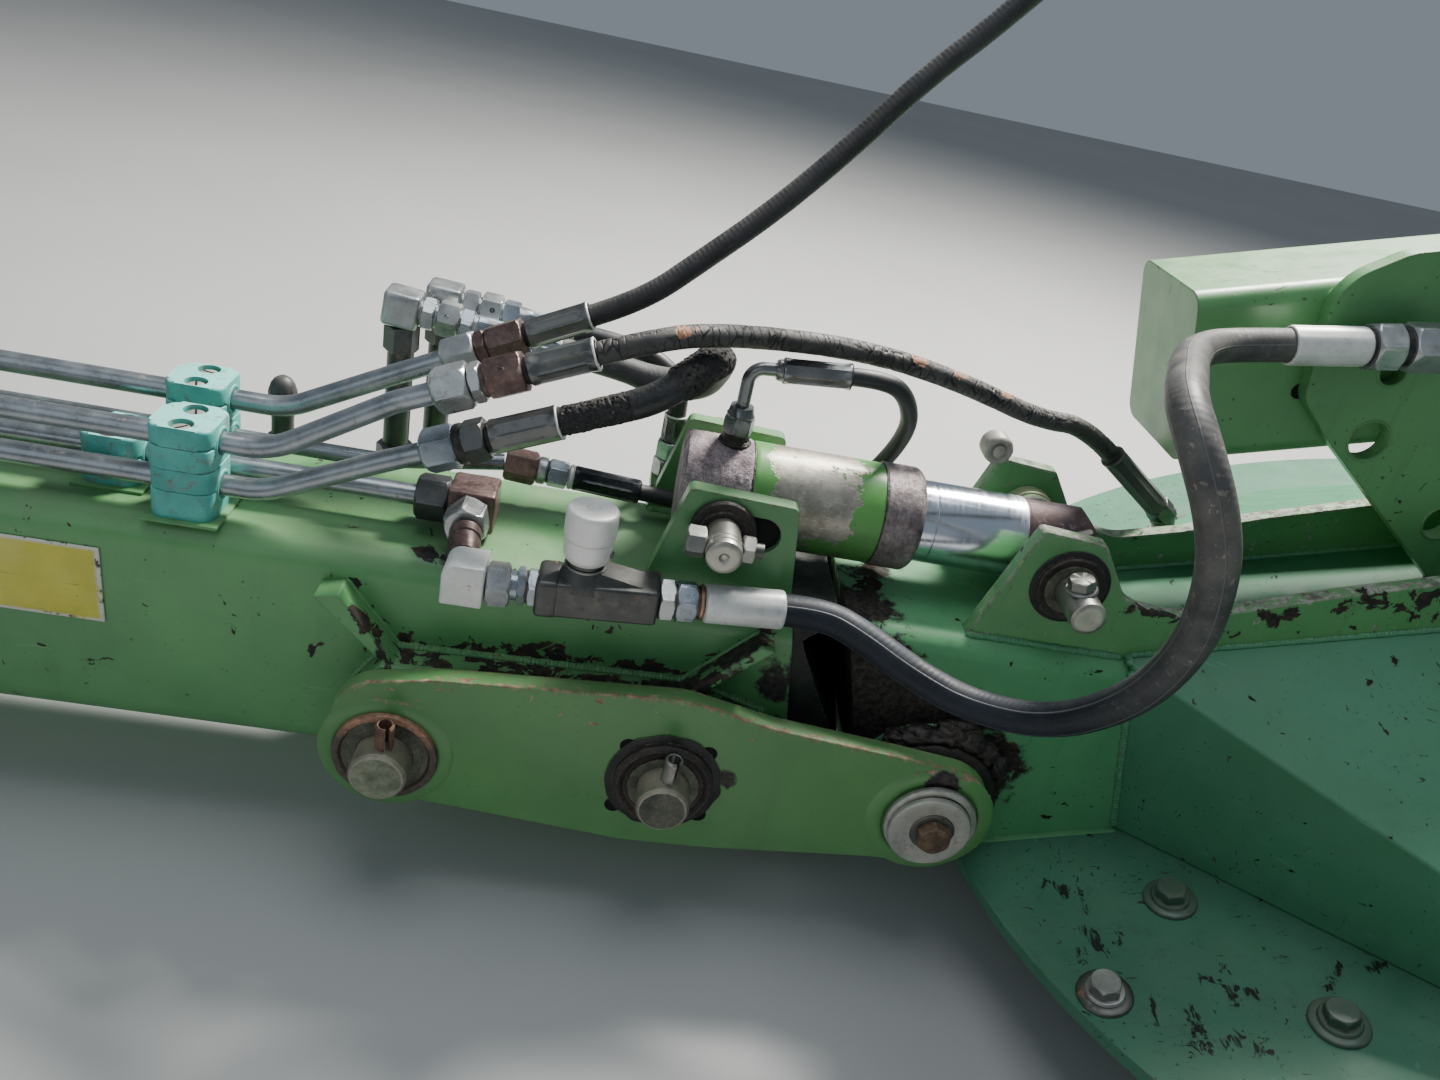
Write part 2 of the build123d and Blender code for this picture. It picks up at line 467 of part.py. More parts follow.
hose("hose_loop", [b3, step(b3, u3, 36), (-49, 66, 250), (-30, 74, 264), (-13, 102, 271), (-6, 142, 255), (-13, 171, 225), (-44, 181, 218), step(ba, ua, 42), ba])
hose("hose_back", [bb_, step(bb_, ub, 30), (-53, 206, 229), (-32, 203, 217), (-26, 201, 204), (-26, 201, 188)])
hose("hose_main", [V1, step(V1, vu, 28), (110, 19, 130), (145, 0, 118.5), (182, -16, 111), (224, -46, 127), (251, -74, 172), (256, -94, 226), (244, -104, 275), (228, -106, 308), (212, -94, 336), (211, -62, 351), (232, -18, 350), (252, 24, 347), (276, 64, 345), step(MF0, MFU, -40), MF0])
hose("port_hose", [cyl_to_pin(PF_END), cyl_to_pin(step(PF_END, PF, 26)), (126, 128, 258), (139, 148, 228), (128, 168, 182), (90, 160, 142), (38, 152, 135), step(PH_END, PH, -40), PH_END])
put("hose_ferrules", between(PH_END, step(PH_END, PH, 51), 9.0))
put("union_sleeves", between(step(PH_END, PH, 51), step(PH_END, PH, 77), 9.8))
put("union_nuts", between(step(PH_END, PH, 77), step(PH_END, PH, 101), 12.5, 6))
put("hose_ferrules", between((-26, 201, 166), (-26, 201, 188), 9.0))
put("union_nuts", between((-26, 201, 136), (-26, 201, 166), 11.5, 6))

# fittings that close the hoses' far ends
put("main_far_ferrule", between(MF0, step(MF0, MFU, 52), 13.0))
MAIN_NUT = step(MF0, MFU, 102)
put("main_far_nut", [between(step(MF0, MFU, 52), step(MF0, MFU, 71), 17, 6) + between(step(MF0, MFU, 71), step(MF0, MFU, 77), 12)
                     + between(step(MF0, MFU, 77), MAIN_NUT, 17, 6)])
a16 = math.radians(HEAD_TILT)
mx, mz = MAIN_NUT[0] - PIN_R[0], MAIN_NUT[2] - PIN_R[1]
MAIN_H = (mx * math.cos(a16) + mz * math.sin(a16), MF0[1], -mx * math.sin(a16) + mz * math.cos(a16))
put("head_pipe", between(MAIN_H, (560, MF0[1], MAIN_H[2] - 12), PIPE_R) + fillet(box(556, 590, 76, 110, MAIN_H[2] - 29, MAIN_H[2] + 5).edges().filter_by(Axis.Y), 5), HEAD)
def to_head(p):
    """A point of the pin frame in the head's frame."""
    a = math.radians(HEAD_TILT)
    dx, dz = p[0] - PIN_R[0], p[2] - PIN_R[1]
    return (dx * math.cos(a) + dz * math.sin(a), p[1], -dx * math.sin(a) + dz * math.cos(a))


le, ll = to_head(LONG_END), to_head(LONG_LAST)
lu = unit(le, ll)
knee = step(ll, lu, 14)
put("long_far_fitting", between(le, ll, 9.6) + between(ll, knee, 11, 6) + Pos(*knee) * Sphere(9.5)
    + cyl_z(knee[0], knee[1], 9, SHELL_Z + 10, knee[2]) + extrude(Pos(knee[0], knee[1], SHELL_Z - 3) * RegularPolygon(13, 6), 14), HEAD)
uu = unit((215, 203, 594), UP_END)
put("upper_far_fitting", between(UP_END, step(UP_END, uu, 46), 9.8) + between(step(UP_END, uu, 46), step(UP_END, uu, 68), 14, 6))

for name, solids in nodes.items():
    shape = solids[0] if len(solids) == 1 else Compound(children=solids)
    export_step(shape, "parts/%s.step" % name)
print(len(nodes), "nodes")
bb = Compound(children=[s for ss in nodes.values() for s in ss]).bounding_box()
print("box", bb.min, bb.max)
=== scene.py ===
import bpy
import bmesh
import math
import json
import random
import numpy as np
from mathutils import Matrix, Vector, noise

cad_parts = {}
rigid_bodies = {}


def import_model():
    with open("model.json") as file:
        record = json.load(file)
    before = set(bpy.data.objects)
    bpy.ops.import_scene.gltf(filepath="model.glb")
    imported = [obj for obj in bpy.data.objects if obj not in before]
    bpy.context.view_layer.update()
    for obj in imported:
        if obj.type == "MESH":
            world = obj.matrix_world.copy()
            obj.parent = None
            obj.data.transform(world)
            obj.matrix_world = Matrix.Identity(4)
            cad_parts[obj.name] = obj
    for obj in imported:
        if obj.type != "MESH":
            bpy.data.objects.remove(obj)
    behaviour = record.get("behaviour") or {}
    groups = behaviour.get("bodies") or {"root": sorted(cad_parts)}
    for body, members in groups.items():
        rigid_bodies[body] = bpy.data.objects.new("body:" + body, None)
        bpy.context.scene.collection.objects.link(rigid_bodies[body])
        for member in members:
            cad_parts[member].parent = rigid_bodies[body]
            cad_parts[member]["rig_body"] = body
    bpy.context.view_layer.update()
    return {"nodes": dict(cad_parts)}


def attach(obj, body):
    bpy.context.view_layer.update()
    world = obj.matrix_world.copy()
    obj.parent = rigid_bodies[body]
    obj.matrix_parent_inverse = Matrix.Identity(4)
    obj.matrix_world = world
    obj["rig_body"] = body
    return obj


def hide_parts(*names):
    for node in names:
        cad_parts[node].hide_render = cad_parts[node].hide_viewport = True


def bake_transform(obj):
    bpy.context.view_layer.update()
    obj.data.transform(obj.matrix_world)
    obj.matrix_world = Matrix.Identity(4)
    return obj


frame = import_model()
NODES = frame["nodes"]
random.seed(7)

# ------------------------------------------------------------------ the frames, as in the part's source
# P: pin frame in millimetres to the row frame in metres. H: the head's own frame. C: the cylinder's own frame.
OFF = Vector((0.720, -0.116, -0.0365))
TILT = math.radians(16)
CYL_UP = math.atan2(172.97 - 173.5, 250.98 - 9.0)


def P(x, y=None, z=None):
    if y is None:
        x, y, z = x
    return Vector((x, y, z)) / 1000 + OFF


def H(x, y=None, z=None):
    if y is None:
        x, y, z = x
    return P(192 + x * math.cos(TILT) - z * math.sin(TILT), y, -3 + x * math.sin(TILT) + z * math.cos(TILT))


def C(x, y=None, z=None):
    if y is None:
        x, y, z = x
    return P(9 + x * math.cos(CYL_UP) - z * math.sin(CYL_UP), 116 + y, 173.5 + x * math.sin(CYL_UP) + z * math.cos(CYL_UP))


X3, Y3, Z3 = Vector((1, 0, 0)), Vector((0, 1, 0)), Vector((0, 0, 1))
HX = Vector((math.cos(TILT), 0, math.sin(TILT)))
HZ = Vector((-math.sin(TILT), 0, math.cos(TILT)))
CX = Vector((math.cos(CYL_UP), 0, math.sin(CYL_UP)))
CZ = Vector((-math.sin(CYL_UP), 0, math.cos(CYL_UP)))

# ------------------------------------------------------------------ camera
R = [[0.98081227, -0.02426119, 0.19343908], [0.15767596, -0.48481731, -0.86028511], [0.11465416, 0.87427888, -0.47168936]]
cam_at = P(-73.28, -573.38, 503.10)
cam = bpy.data.objects.new("view_camera", bpy.data.cameras.new("view_camera"))
bpy.context.scene.collection.objects.link(cam)
cam.matrix_world = Matrix(((R[0][0], -R[1][0], -R[2][0], cam_at[0]), (R[0][1], -R[1][1], -R[2][1], cam_at[1]),
                           (R[0][2], -R[1][2], -R[2][2], cam_at[2]), (0, 0, 0, 1)))
cam.data.lens = 27.05
cam.data.sensor_width = 36
cam.data.clip_start = 0.01
bpy.context.scene.camera = cam


# ------------------------------------------------------------------ material kit
class Tree:
    """A Principled material with short calls for its nodes."""

    def __init__(s, name):
        s.mat = bpy.data.materials.new(name)
        s.mat.use_nodes = True
        s.nt = s.mat.node_tree
        s.nt.nodes.clear()
        out = s.new("ShaderNodeOutputMaterial")
        s.bsdf = s.new("ShaderNodeBsdfPrincipled")
        s.nt.links.new(s.bsdf.outputs[0], out.inputs[0])
        tc = s.new("ShaderNodeTexCoord")
        s.obj, s.uv = tc.outputs["Object"], tc.outputs["UV"]
        s.geo = s.new("ShaderNodeNewGeometry")
        s.normal = s.geo.outputs["Normal"]

    def new(s, kind):
        return s.nt.nodes.new(kind)

    def put(s, socket, value):
        if isinstance(value, bpy.types.NodeSocket):
            s.nt.links.new(value, socket)
        elif value is not None:
            if hasattr(socket.default_value, "__len__") and not hasattr(value, "__len__"):
                value = (value, value, value, 1)[:len(socket.default_value)]
            elif hasattr(value, "__len__") and len(value) == 3 and len(socket.default_value) == 4:
                value = (*value, 1)
            socket.default_value = value

    def stretch(s, vec, by):
        n = s.new("ShaderNodeMapping")
        s.put(n.inputs["Vector"], vec)
        n.inputs["Scale"].default_value = by
        return n.outputs[0]

    def noise(s, scale, detail=3, rough=0.5, vec=None, dist=0.0):
        n = s.new("ShaderNodeTexNoise")
        s.put(n.inputs["Vector"], s.obj if vec is None else vec)
        n.inputs["Scale"].default_value = scale
        n.inputs["Detail"].default_value = detail
        n.inputs["Roughness"].default_value = rough
        n.inputs["Distortion"].default_value = dist
        return n.outputs["Fac"]

    def cells(s, scale, feature="F1", vec=None, rand=1.0):
        n = s.new("ShaderNodeTexVoronoi")
        n.feature = feature
        s.put(n.inputs["Vector"], s.obj if vec is None else vec)
        n.inputs["Scale"].default_value = scale
        n.inputs["Randomness"].default_value = rand
        return n.outputs["Distance"]

    def wave(s, scale, vec, axis="X", dist=0.0, detail=0.0, profile="SIN"):
        n = s.new("ShaderNodeTexWave")
        n.bands_direction = axis
        n.wave_profile = profile
        s.put(n.inputs["Vector"], vec)
        n.inputs["Scale"].default_value = scale
        n.inputs["Distortion"].default_value = dist
        n.inputs["Detail"].default_value = detail
        return n.outputs["Fac"]

    def span(s, v, a, b, c=0.0, d=1.0):
        """v from a..b to c..d, held at the ends."""
        n = s.new("ShaderNodeMapRange")
        s.put(n.inputs[0], v)
        for i, x in enumerate((a, b, c, d)):
            n.inputs[i + 1].default_value = x
        return n.outputs[0]

    def op(s, kind, a, b=0.0):
        n = s.new("ShaderNodeMath")
        n.operation = kind
        s.put(n.inputs[0], a)
        s.put(n.inputs[1], b)
        return n.outputs[0]

    def mul(s, a, b):
        return s.op("MULTIPLY", a, b)

    def most(s, *v):
        r = v[0]
        for x in v[1:]:
            r = s.op("MAXIMUM", r, x)
        return r

    def off(s, v):
        return s.op("SUBTRACT", 1.0, v)

    def mix(s, f, a, b):
        n = s.new("ShaderNodeMix")
        n.data_type = "RGBA"
        s.put(n.inputs[0], f)
        s.put(n.inputs[6], a)
        s.put(n.inputs[7], b)
        return n.outputs[2]

    def dot(s, a, b):
        n = s.new("ShaderNodeVectorMath")
        n.operation = "DOT_PRODUCT"
        s.put(n.inputs[0], a)
        s.put(n.inputs[1], b)
        return n.outputs["Value"]

    def axis(s, vec, i):
        n = s.new("ShaderNodeSeparateXYZ")
        s.put(n.inputs[0], vec)
        return n.outputs[i]

    def near(s, p, r0, r1):
        """1 within r0 of the point p, down to 0 at r1, in metres."""
        n = s.new("ShaderNodeVectorMath")
        n.operation = "DISTANCE"
        s.put(n.inputs[0], s.obj)
        n.inputs[1].default_value = tuple(p)
        return s.span(n.outputs["Value"], r0, r1, 1.0, 0.0)

    def line(s, a, b, r0, r1):
        """1 within r0 of the segment from a to b, down to 0 at r1, in metres."""
        a, b = Vector(a), Vector(b)
        d = b - a
        rel = s.new("ShaderNodeVectorMath")
        rel.operation = "SUBTRACT"
        s.put(rel.inputs[0], s.obj)
        rel.inputs[1].default_value = tuple(a)
        t = s.span(s.mul(s.dot(rel.outputs[0], tuple(d)), 1 / d.length_squared), 0, 1, 0, 1)
        foot = s.new("ShaderNodeVectorMath")
        foot.operation = "SCALE"
        foot.inputs[0].default_value = tuple(d)
        s.put(foot.inputs["Scale"], t)
        n = s.new("ShaderNodeVectorMath")
        n.operation = "DISTANCE"
        s.put(n.inputs[0], rel.outputs[0])
        s.put(n.inputs[1], foot.outputs[0])
        return s.span(n.outputs["Value"], r0, r1, 1.0, 0.0)

    def edge(s, radius=0.0012, low=0.02, high=0.12):
        """1 along outer and inner edges of the mesh."""
        n = s.new("ShaderNodeBevel")
        n.samples = 3
        n.inputs["Radius"].default_value = radius
        return s.span(s.off(s.dot(n.outputs[0], s.normal)), low, high)

    def bump(s, height, strength, distance=0.001, normal=None):
        n = s.new("ShaderNodeBump")
        n.inputs["Strength"].default_value = strength
        n.inputs["Distance"].default_value = distance
        s.put(n.inputs["Height"], height)
        if normal is not None:
            s.put(n.inputs["Normal"], normal)
        return n.outputs[0]

    def done(s, color, rough, metal=0.0, normal=None, **more):
        b = s.bsdf
        s.put(b.inputs["Base Color"], color)
        s.put(b.inputs["Roughness"], rough)
        s.put(b.inputs["Metallic"], metal)
        if normal is not None:
            s.put(b.inputs["Normal"], normal)
        for k, v in more.items():
            s.put(b.inputs[k.replace("_", " ")], v)
        return s.mat


RUST = (0.16, 0.066, 0.032)
RUST_LIGHT = (0.36, 0.15, 0.06)
# near-black of grease, also the painted shade on the head box's face and on the gap blocks
GREASE_AND_SHADE = (0.012, 0.011, 0.010)
DUST = (0.24, 0.215, 0.17)


def paint(name, base, dark, chips=0.5, edge=0.5, dirt=0.4, rough=0.33, grease_and_shade=(), flakes=(), under=(0.10, 0.06, 0.045), dust=0.25, scuff=0.3,
          rims=None, marks=0.0, rim_above=None, rim_w=0.0052, rim_cover=0.515, ink=(), coat_w=0.12, lips=(), spec=0.5):
    """Farm machine paint: tone changes, dust on top faces, specks, chipped edges, flaked lines, and dark rough spots
    that are grease and, on the head box's face towards the boom, painted shade.
    flakes: segments (a, b, r0, r1) along which the paint has come off in small dark patches;
    rims: colours of the broken paint in a wide band beside the edges; marks: thin black scrapes;
    ink: segments with torn black scrape marks; lips: pairs of y between which the upward edges are chipped."""
    t = Tree(name)
    big = t.noise(7, 3, 0.55)
    fine = t.noise(160, 4, 0.6)
    mid = t.noise(38, 5, 0.62)
    col = t.mix(t.span(big, 0.32, 0.68), dark, base)
    col = t.mix(t.span(mid, 0.42, 0.75, 0.0, 0.22), col, (base[0] * 1.35 + 0.02, base[1] * 1.2 + 0.02, base[2] * 1.35 + 0.02))
    top = t.axis(t.normal, 2)
    veil = t.mul(t.span(top, 0.25, 0.95), t.span(t.noise(22, 5, 0.65), 0.35, 0.72, 0.15, 1.0))
    col = t.mix(t.mul(veil, dust), col, DUST)
    # streaks that run down the upright faces
    run = t.noise(1.0, 4, 0.6, vec=t.stretch(t.obj, (95, 95, 7)))
    col = t.mix(t.mul(t.span(run, 0.56, 0.74), 0.28 * dirt), col, (0.035, 0.04, 0.025))
    # fine scratches
    thin = t.noise(1.0, 2, 0.5, vec=t.stretch(t.obj, (26, 60, 420)))
    scratch = t.mul(t.span(thin, 0.70, 0.74), t.span(t.noise(9, 2), 0.5, 0.62))
    col = t.mix(t.mul(scratch, 0.55 * scuff), col, (base[0] * 2.1 + 0.05, base[1] * 1.6 + 0.05, base[2] * 2.1 + 0.06))
    # dark specks of grease thrown on the paint
    speck = t.mul(t.span(t.cells(150), 0.17, 0.10), t.span(t.noise(14, 3, 0.7), 0.52, 0.62))
    crumbs = t.mul(t.span(t.noise(330, 3, 0.75), 0.66, 0.70), t.span(t.noise(17, 4, 0.7), 0.50, 0.66))
    dirtm = t.mul(t.most(speck, crumbs), min(1.0, 1.1 * dirt))
    rim = t.edge(0.0016)
    worn = t.mul(rim, t.span(t.noise(120, 5, 0.7), 0.60 - 0.16 * edge, 0.68 - 0.12 * edge))
    flake = t.mul(t.span(t.noise(46, 6, 0.72), 0.735 - 0.05 * chips, 0.75 - 0.05 * chips), t.span(t.noise(6, 2), 0.40, 0.55))
    bare = t.most(worn, flake)
    rust = None
    for a, b, r0, r1 in flakes:
        spot = t.span(t.op("ADD", t.mul(t.line(a, b, r0, r1), 0.19), t.noise(62, 6, 0.62, dist=0.6)), 0.665, 0.675)
        rust = spot if rust is None else t.most(rust, spot)
    if marks:
        thin = t.noise(1.0, 5, 0.72, vec=t.stretch(t.obj, (46, 120, 60)), dist=2.2)
        sparse = t.mul(t.span(thin, 0.665 - 0.03 * marks, 0.675 - 0.03 * marks), t.span(t.noise(5.5, 3, 0.6), 0.50, 0.56))
        rust = sparse if rust is None else t.most(rust, sparse)
    broken = None
    if rims:
        wide = t.edge(rim_w, 0.006, 0.05)
        broken = t.mul(wide, t.span(t.noise(215, 5, 0.62, dist=0.4), rim_cover, rim_cover + 0.015))
        if rim_above is not None:
            broken = t.mul(broken, t.span(t.axis(t.obj, 2), rim_above, rim_above + 0.02))
        for y0, y1 in lips:
            lip = t.mul(t.span(t.axis(t.obj, 1), y0, y1, 1.0, 0.0), t.span(t.axis(t.normal, 2), 0.15, 0.5))
            lip = t.span(t.op("ADD", t.mul(lip, 0.16), t.noise(1.0, 5, 0.62, vec=t.stretch(t.obj, (150, 300, 150)), dist=0.4)), 0.635, 0.655)
            broken = t.most(broken, t.mul(lip, t.span(t.axis(t.obj, 2), rim_above, rim_above + 0.01)))
    # grease spots: darker, rougher paint; real grease on most parts, painted shade on the head box's face towards the
    # boom
    grease_and_shade_mask = None
    for p, r0, r1 in grease_and_shade:
        spot = t.near(p, r0, r1)
        spot = t.span(t.op("ADD", spot, t.span(t.noise(55, 5, 0.66), 0.2, 0.8, -0.5, 0.5)), 0.44, 0.60)
        grease_and_shade_mask = spot if grease_and_shade_mask is None else t.most(grease_and_shade_mask, spot)
    tone = t.mix(t.span(fine, 0.35, 0.65), under, (under[0] * 2.6 + 0.03, under[1] * 2.2 + 0.02, under[2] * 2.0 + 0.02))
    col = t.mix(bare, col, tone)
    if broken is not None:
        col = t.mix(broken, col, t.mix(t.span(t.noise(120, 4, 0.6), 0.4, 0.6), rims[0], rims[1]))
        bare = t.most(bare, broken)
    if rust is not None:
        col = t.mix(rust, col, t.mix(t.span(t.noise(140, 4, 0.65), 0.45, 0.62), (0.015, 0.013, 0.011), (0.058, 0.033, 0.024)))
    if ink:
        hair = t.noise(1.0, 6, 0.68, vec=t.stretch(t.obj, (150, 62, 90)), dist=1.6)
        dark = None
        for a, b, r0, r1 in ink:
            spot = t.span(t.op("ADD", t.mul(t.line(a, b, r0, r1), 0.17), hair), 0.655, 0.675)
            dark = spot if dark is None else t.most(dark, spot)
        col = t.mix(dark, col, (0.010, 0.016, 0.013))
    col = t.mix(dirtm, col, (0.02, 0.018, 0.014))
    ro = t.span(mid, 0.3, 0.7, rough - 0.06, rough + 0.12)
    ro = t.op("ADD", ro, t.mul(veil, 0.35 * dust + 0.08))
    rest = t.most(bare, dirtm) if rust is None else t.most(bare, dirtm, rust)
    ro = t.op("ADD", ro, t.mul(rest, 0.4))
    if grease_and_shade_mask is not None:
        col = t.mix(grease_and_shade_mask, col, t.mix(t.span(t.noise(210, 4, 0.7), 0.4, 0.66), GREASE_AND_SHADE, (0.06, 0.052, 0.042)))
        ro = t.op("ADD", t.mul(ro, t.off(grease_and_shade_mask)), t.mul(grease_and_shade_mask, 0.72))
        rest = t.op("SUBTRACT", rest, t.mul(grease_and_shade_mask, t.span(t.noise(130, 5, 0.7), 0.3, 0.7, 0.6, 2.6)))
    h = t.op("SUBTRACT", t.mul(t.noise(420, 2, 0.5), 0.10), t.mul(rest, 0.55))
    nb = t.new("ShaderNodeBevel")
    nb.samples = 2
    nb.inputs["Radius"].default_value = 0.0011
    return t.done(col, ro, 0.0, t.bump(h, 0.5, 0.0006, nb.outputs[0]), Coat_Weight=coat_w, Coat_Roughness=0.25, Specular_IOR_Level=spec)


def zinc(name, base=(0.50, 0.51, 0.50), rust=0.25, rough=0.34, dirt=0.4, brush=None, rim=(0.62, 0.62, 0.60), metal=0.86, even=0.0):
    """Zinc-plated or turned steel: cloudy, stained, with patches of dirt."""
    t = Tree(name)
    cloud = t.noise(34, 4, 0.6)
    fine = t.noise(240, 4, 0.65)
    col = t.mix(t.span(cloud, 0.32, 0.68), tuple(c * (k + (1 - k) * even) for c, k in zip(base, (0.58, 0.6, 0.62))), base)
    col = t.mix(t.span(t.noise(95, 4, 0.7), 0.52, 0.75, 0.0, 0.5 * (1 - even)), col, (0.20, 0.185, 0.15))
    stain = t.span(t.noise(60, 5, 0.7), 0.66 - 0.22 * rust, 0.76 - 0.16 * rust)
    rcol = t.mix(t.span(fine, 0.35, 0.65), RUST, RUST_LIGHT)
    col = t.mix(t.mul(stain, 0.85), col, rcol)
    grime = t.mul(t.span(t.noise(130, 5, 0.75), 0.56, 0.70), dirt)
    col = t.mix(grime, col, (0.03, 0.028, 0.024))
    # edges lighter in the rim colour: rubbed bare edges, partly a painted highlight
    e = t.mul(t.edge(0.0007), t.span(fine, 0.38, 0.55))
    col = t.mix(t.mul(e, 0.7), col, rim)
    loose = t.most(t.mul(stain, 0.85), grime)
    ro = t.op("ADD", t.span(cloud, 0.3, 0.7, rough - 0.05, rough + 0.12), t.mul(loose, 0.35))
    h = t.op("ADD", t.mul(fine, 0.25), t.mul(loose, 0.5))
    if brush:
        h = t.op("ADD", h, t.mul(t.noise(1.0, 3, 0.6, vec=t.stretch(t.obj, brush)), 0.9))
    return t.done(col, ro, t.span(loose, 0.0, 1.0, metal, 0.05), t.bump(h, 0.35, 0.0004))


def rusty(name, base=(0.20, 0.10, 0.065), light=(0.36, 0.20, 0.12), black=0.3, rough=0.72, metal=0.25, grain=300, bump=0.6, scratch=None, dist=0.0006):
    """Rusted steel with a grain, darker where grease sits; near-black, it gives the gap blocks their painted shade."""
    t = Tree(name)
    a, b = t.noise(46, 5, 0.65), t.noise(grain, 4, 0.7)
    col = t.mix(t.span(b, 0.3, 0.7), base, light)
    col = t.mix(t.span(a, 0.42, 0.70), col, (base[0] * 0.45, base[1] * 0.45, base[2] * 0.5))
    dark = t.mul(t.span(t.noise(24, 5, 0.7), 0.62 - 0.3 * black, 0.74 - 0.2 * black), 0.9)
    col = t.mix(dark, col, GREASE_AND_SHADE)
    e = t.mul(t.edge(0.0008), t.span(b, 0.4, 0.6))
    col = t.mix(t.mul(e, 0.6), col, (0.42, 0.36, 0.30))
    h = b
    if scratch:
        line = t.noise(1.0, 4, 0.65, vec=t.stretch(t.obj, scratch))
        h = t.op("ADD", h, t.mul(line, 1.4))
        col = t.mix(t.mul(t.span(line, 0.55, 0.72), 0.6), col, (0.42, 0.37, 0.33))
    return t.done(col, t.op("SUBTRACT", t.span(a, 0.3, 0.7, rough - 0.1, rough + 0.12), t.mul(dark, 0.25)), metal, t.bump(h, bump, dist))


def rubber(name, base=(0.022, 0.023, 0.025), scuff=0.3, crack=0.0, rough=0.55, dust=0.3, ochre=0.0, fine=0.25, spots=(), high=None, wound=0.0, flecks=0.0, seam=0.0, spec=0.5):
    """Hose rubber: scuffed, dusty on top, cracked across where it is old."""
    t = Tree(name)
    a, b = t.noise(26, 5, 0.65), t.noise(310, 4, 0.7)
    col = t.mix(t.span(a, 0.35, 0.7), base, (base[0] * 2.6, base[1] * 2.6, base[2] * 2.7))
    top = t.span(t.axis(t.normal, 2), 0.1, 0.95)
    veil = t.mul(top, t.span(t.noise(40, 5, 0.7), 0.40, 0.72))
    col = t.mix(t.mul(veil, dust), col, (0.22, 0.20, 0.165))
    line = t.noise(1.0, 4, 0.6, vec=t.stretch(t.uv, (70, 520, 1)))
    rub = t.mul(t.span(line, 0.60, 0.70), t.span(t.noise(16, 3), 0.42, 0.62))
    col = t.mix(t.mul(rub, scuff), col, (0.30, 0.29, 0.27))
    h = t.mul(b, fine)
    if wound:
        turns = t.wave(1.0, t.stretch(t.uv, (150, 42, 1)), "DIAGONAL", 1.2, 2.0)
        h = t.op("ADD", h, t.mul(turns, wound))
        col = t.mix(t.mul(t.span(turns, 0.55, 0.9), 0.35 * wound), col, (base[0] * 4.5, base[1] * 4.3, base[2] * 4.0))
    if seam:
        # thin mould lines along the hose, this far apart round it
        q = t.op("ABSOLUTE", t.op("SUBTRACT", t.op("MODULO", t.axis(t.uv, 1), seam), 0.5 * seam))
        ridge = t.span(q, 0.00025, 0.00065, 1.0, 0.0)
        col = t.mix(t.mul(ridge, 0.55), col, (0.17, 0.175, 0.18))
        h = t.op("ADD", h, t.mul(ridge, 1.1))
    if high:
        up = t.mul(t.span(t.axis(t.obj, 2), high[0], high[1]), t.span(t.noise(34, 5, 0.68), 0.30, 0.62, 0.25, 1.0))
        col = t.mix(t.mul(up, 0.80), col, (0.150, 0.144, 0.130))
        grit = t.mul(t.span(t.noise(190, 4, 0.75), 0.60, 0.66), up)
        col = t.mix(t.mul(grit, 0.75), col, (0.30, 0.275, 0.225))
    if crack:
        c = t.span(t.cells(1.0, "DISTANCE_TO_EDGE", vec=t.stretch(t.uv, (170, 75, 1))), 0.10, 0.02)
        c = t.mul(c, t.span(t.noise(30, 4, 0.7), 0.40, 0.52))
        col = t.mix(t.mul(c, 0.95 * crack), col, (0.003, 0.003, 0.003))
        h = t.op("SUBTRACT", h, t.mul(c, 2.6 * crack))
    if ochre:
        o = t.span(t.noise(52, 6, 0.74), 0.80 - 0.12 * ochre, 0.82 - 0.10 * ochre)
        for p, r0, r1 in spots:
            o = t.most(o, t.span(t.op("ADD", t.near(p, r0, r1), t.span(t.noise(120, 4, 0.7), 0.2, 0.8, -0.5, 0.5)), 0.5, 0.62))
        col = t.mix(t.mul(o, 0.85), col, t.mix(t.span(b, 0.35, 0.65), (0.30, 0.12, 0.05), (0.46, 0.24, 0.13)))
        h = t.op("SUBTRACT", h, t.mul(o, 0.8))
    if flecks:
        grit = t.mul(t.span(t.noise(420, 4, 0.8), 0.60, 0.68), t.span(t.noise(60, 4, 0.7), 0.35, 0.62))
        col = t.mix(t.mul(grit, flecks), col, (0.26, 0.25, 0.23))
    nrm = t.bump(h, 0.55, 0.0006)
    return t.done(col, t.op("ADD", t.span(a, 0.3, 0.7, rough - 0.10, rough + 0.1), t.mul(veil, 0.2)), 0.0, nrm, Specular_IOR_Level=spec)


GREEN = (0.112, 0.330, 0.112)
GREEN_D = (0.078, 0.245, 0.088)
BLUISH = (0.080, 0.29, 0.135)
BLUISH_D = (0.055, 0.215, 0.105)

HINGE_GREASE = [(P(192 - 6, 34, 40), 0.030, 0.064), (P(232, 36, 20), 0.020, 0.050)]
mat = {}
mat["boom"] = paint("paint_boom", GREEN, GREEN_D, chips=0.12, edge=0.4, dirt=0.28, dust=0.42,
                    grease_and_shade=[(P(-158, 55, 120), 0.004, 0.020), (P(72, 60, 70), 0.014, 0.040), (P(72, 60, 20), 0.014, 0.040), (P(30, 66, 120), 0.006, 0.028)],
                    flakes=[(P(-196, 40, 57), P(6, 40, 63), 0.003, 0.016), (P(-226, 40, 98), P(-196, 40, 60), 0.002, 0.009), (P(10, 40, 64), P(52, 40, 106), 0.003, 0.012),
                            (P(-185, 55, 121), P(-120, 50, 121), 0.003, 0.012)], marks=0.0)
mat["cheek"] = paint("paint_cheek", GREEN, GREEN_D, chips=0.75, edge=0.7, dirt=0.8, dust=0.3,
                     grease_and_shade=[(P(-6, 28, 60), 0.008, 0.030), (P(36, 30, 84), 0.006, 0.024), (P(46, 26, 52), 0.008, 0.03)],
                     flakes=[(P(-196, 30, 53), P(60, 30, 50), 0.006, 0.020), (P(-216, 24, 84), P(-196, 24, 54), 0.003, 0.012), (P(8, 26, 62), P(50, 30, 102), 0.006, 0.020)])
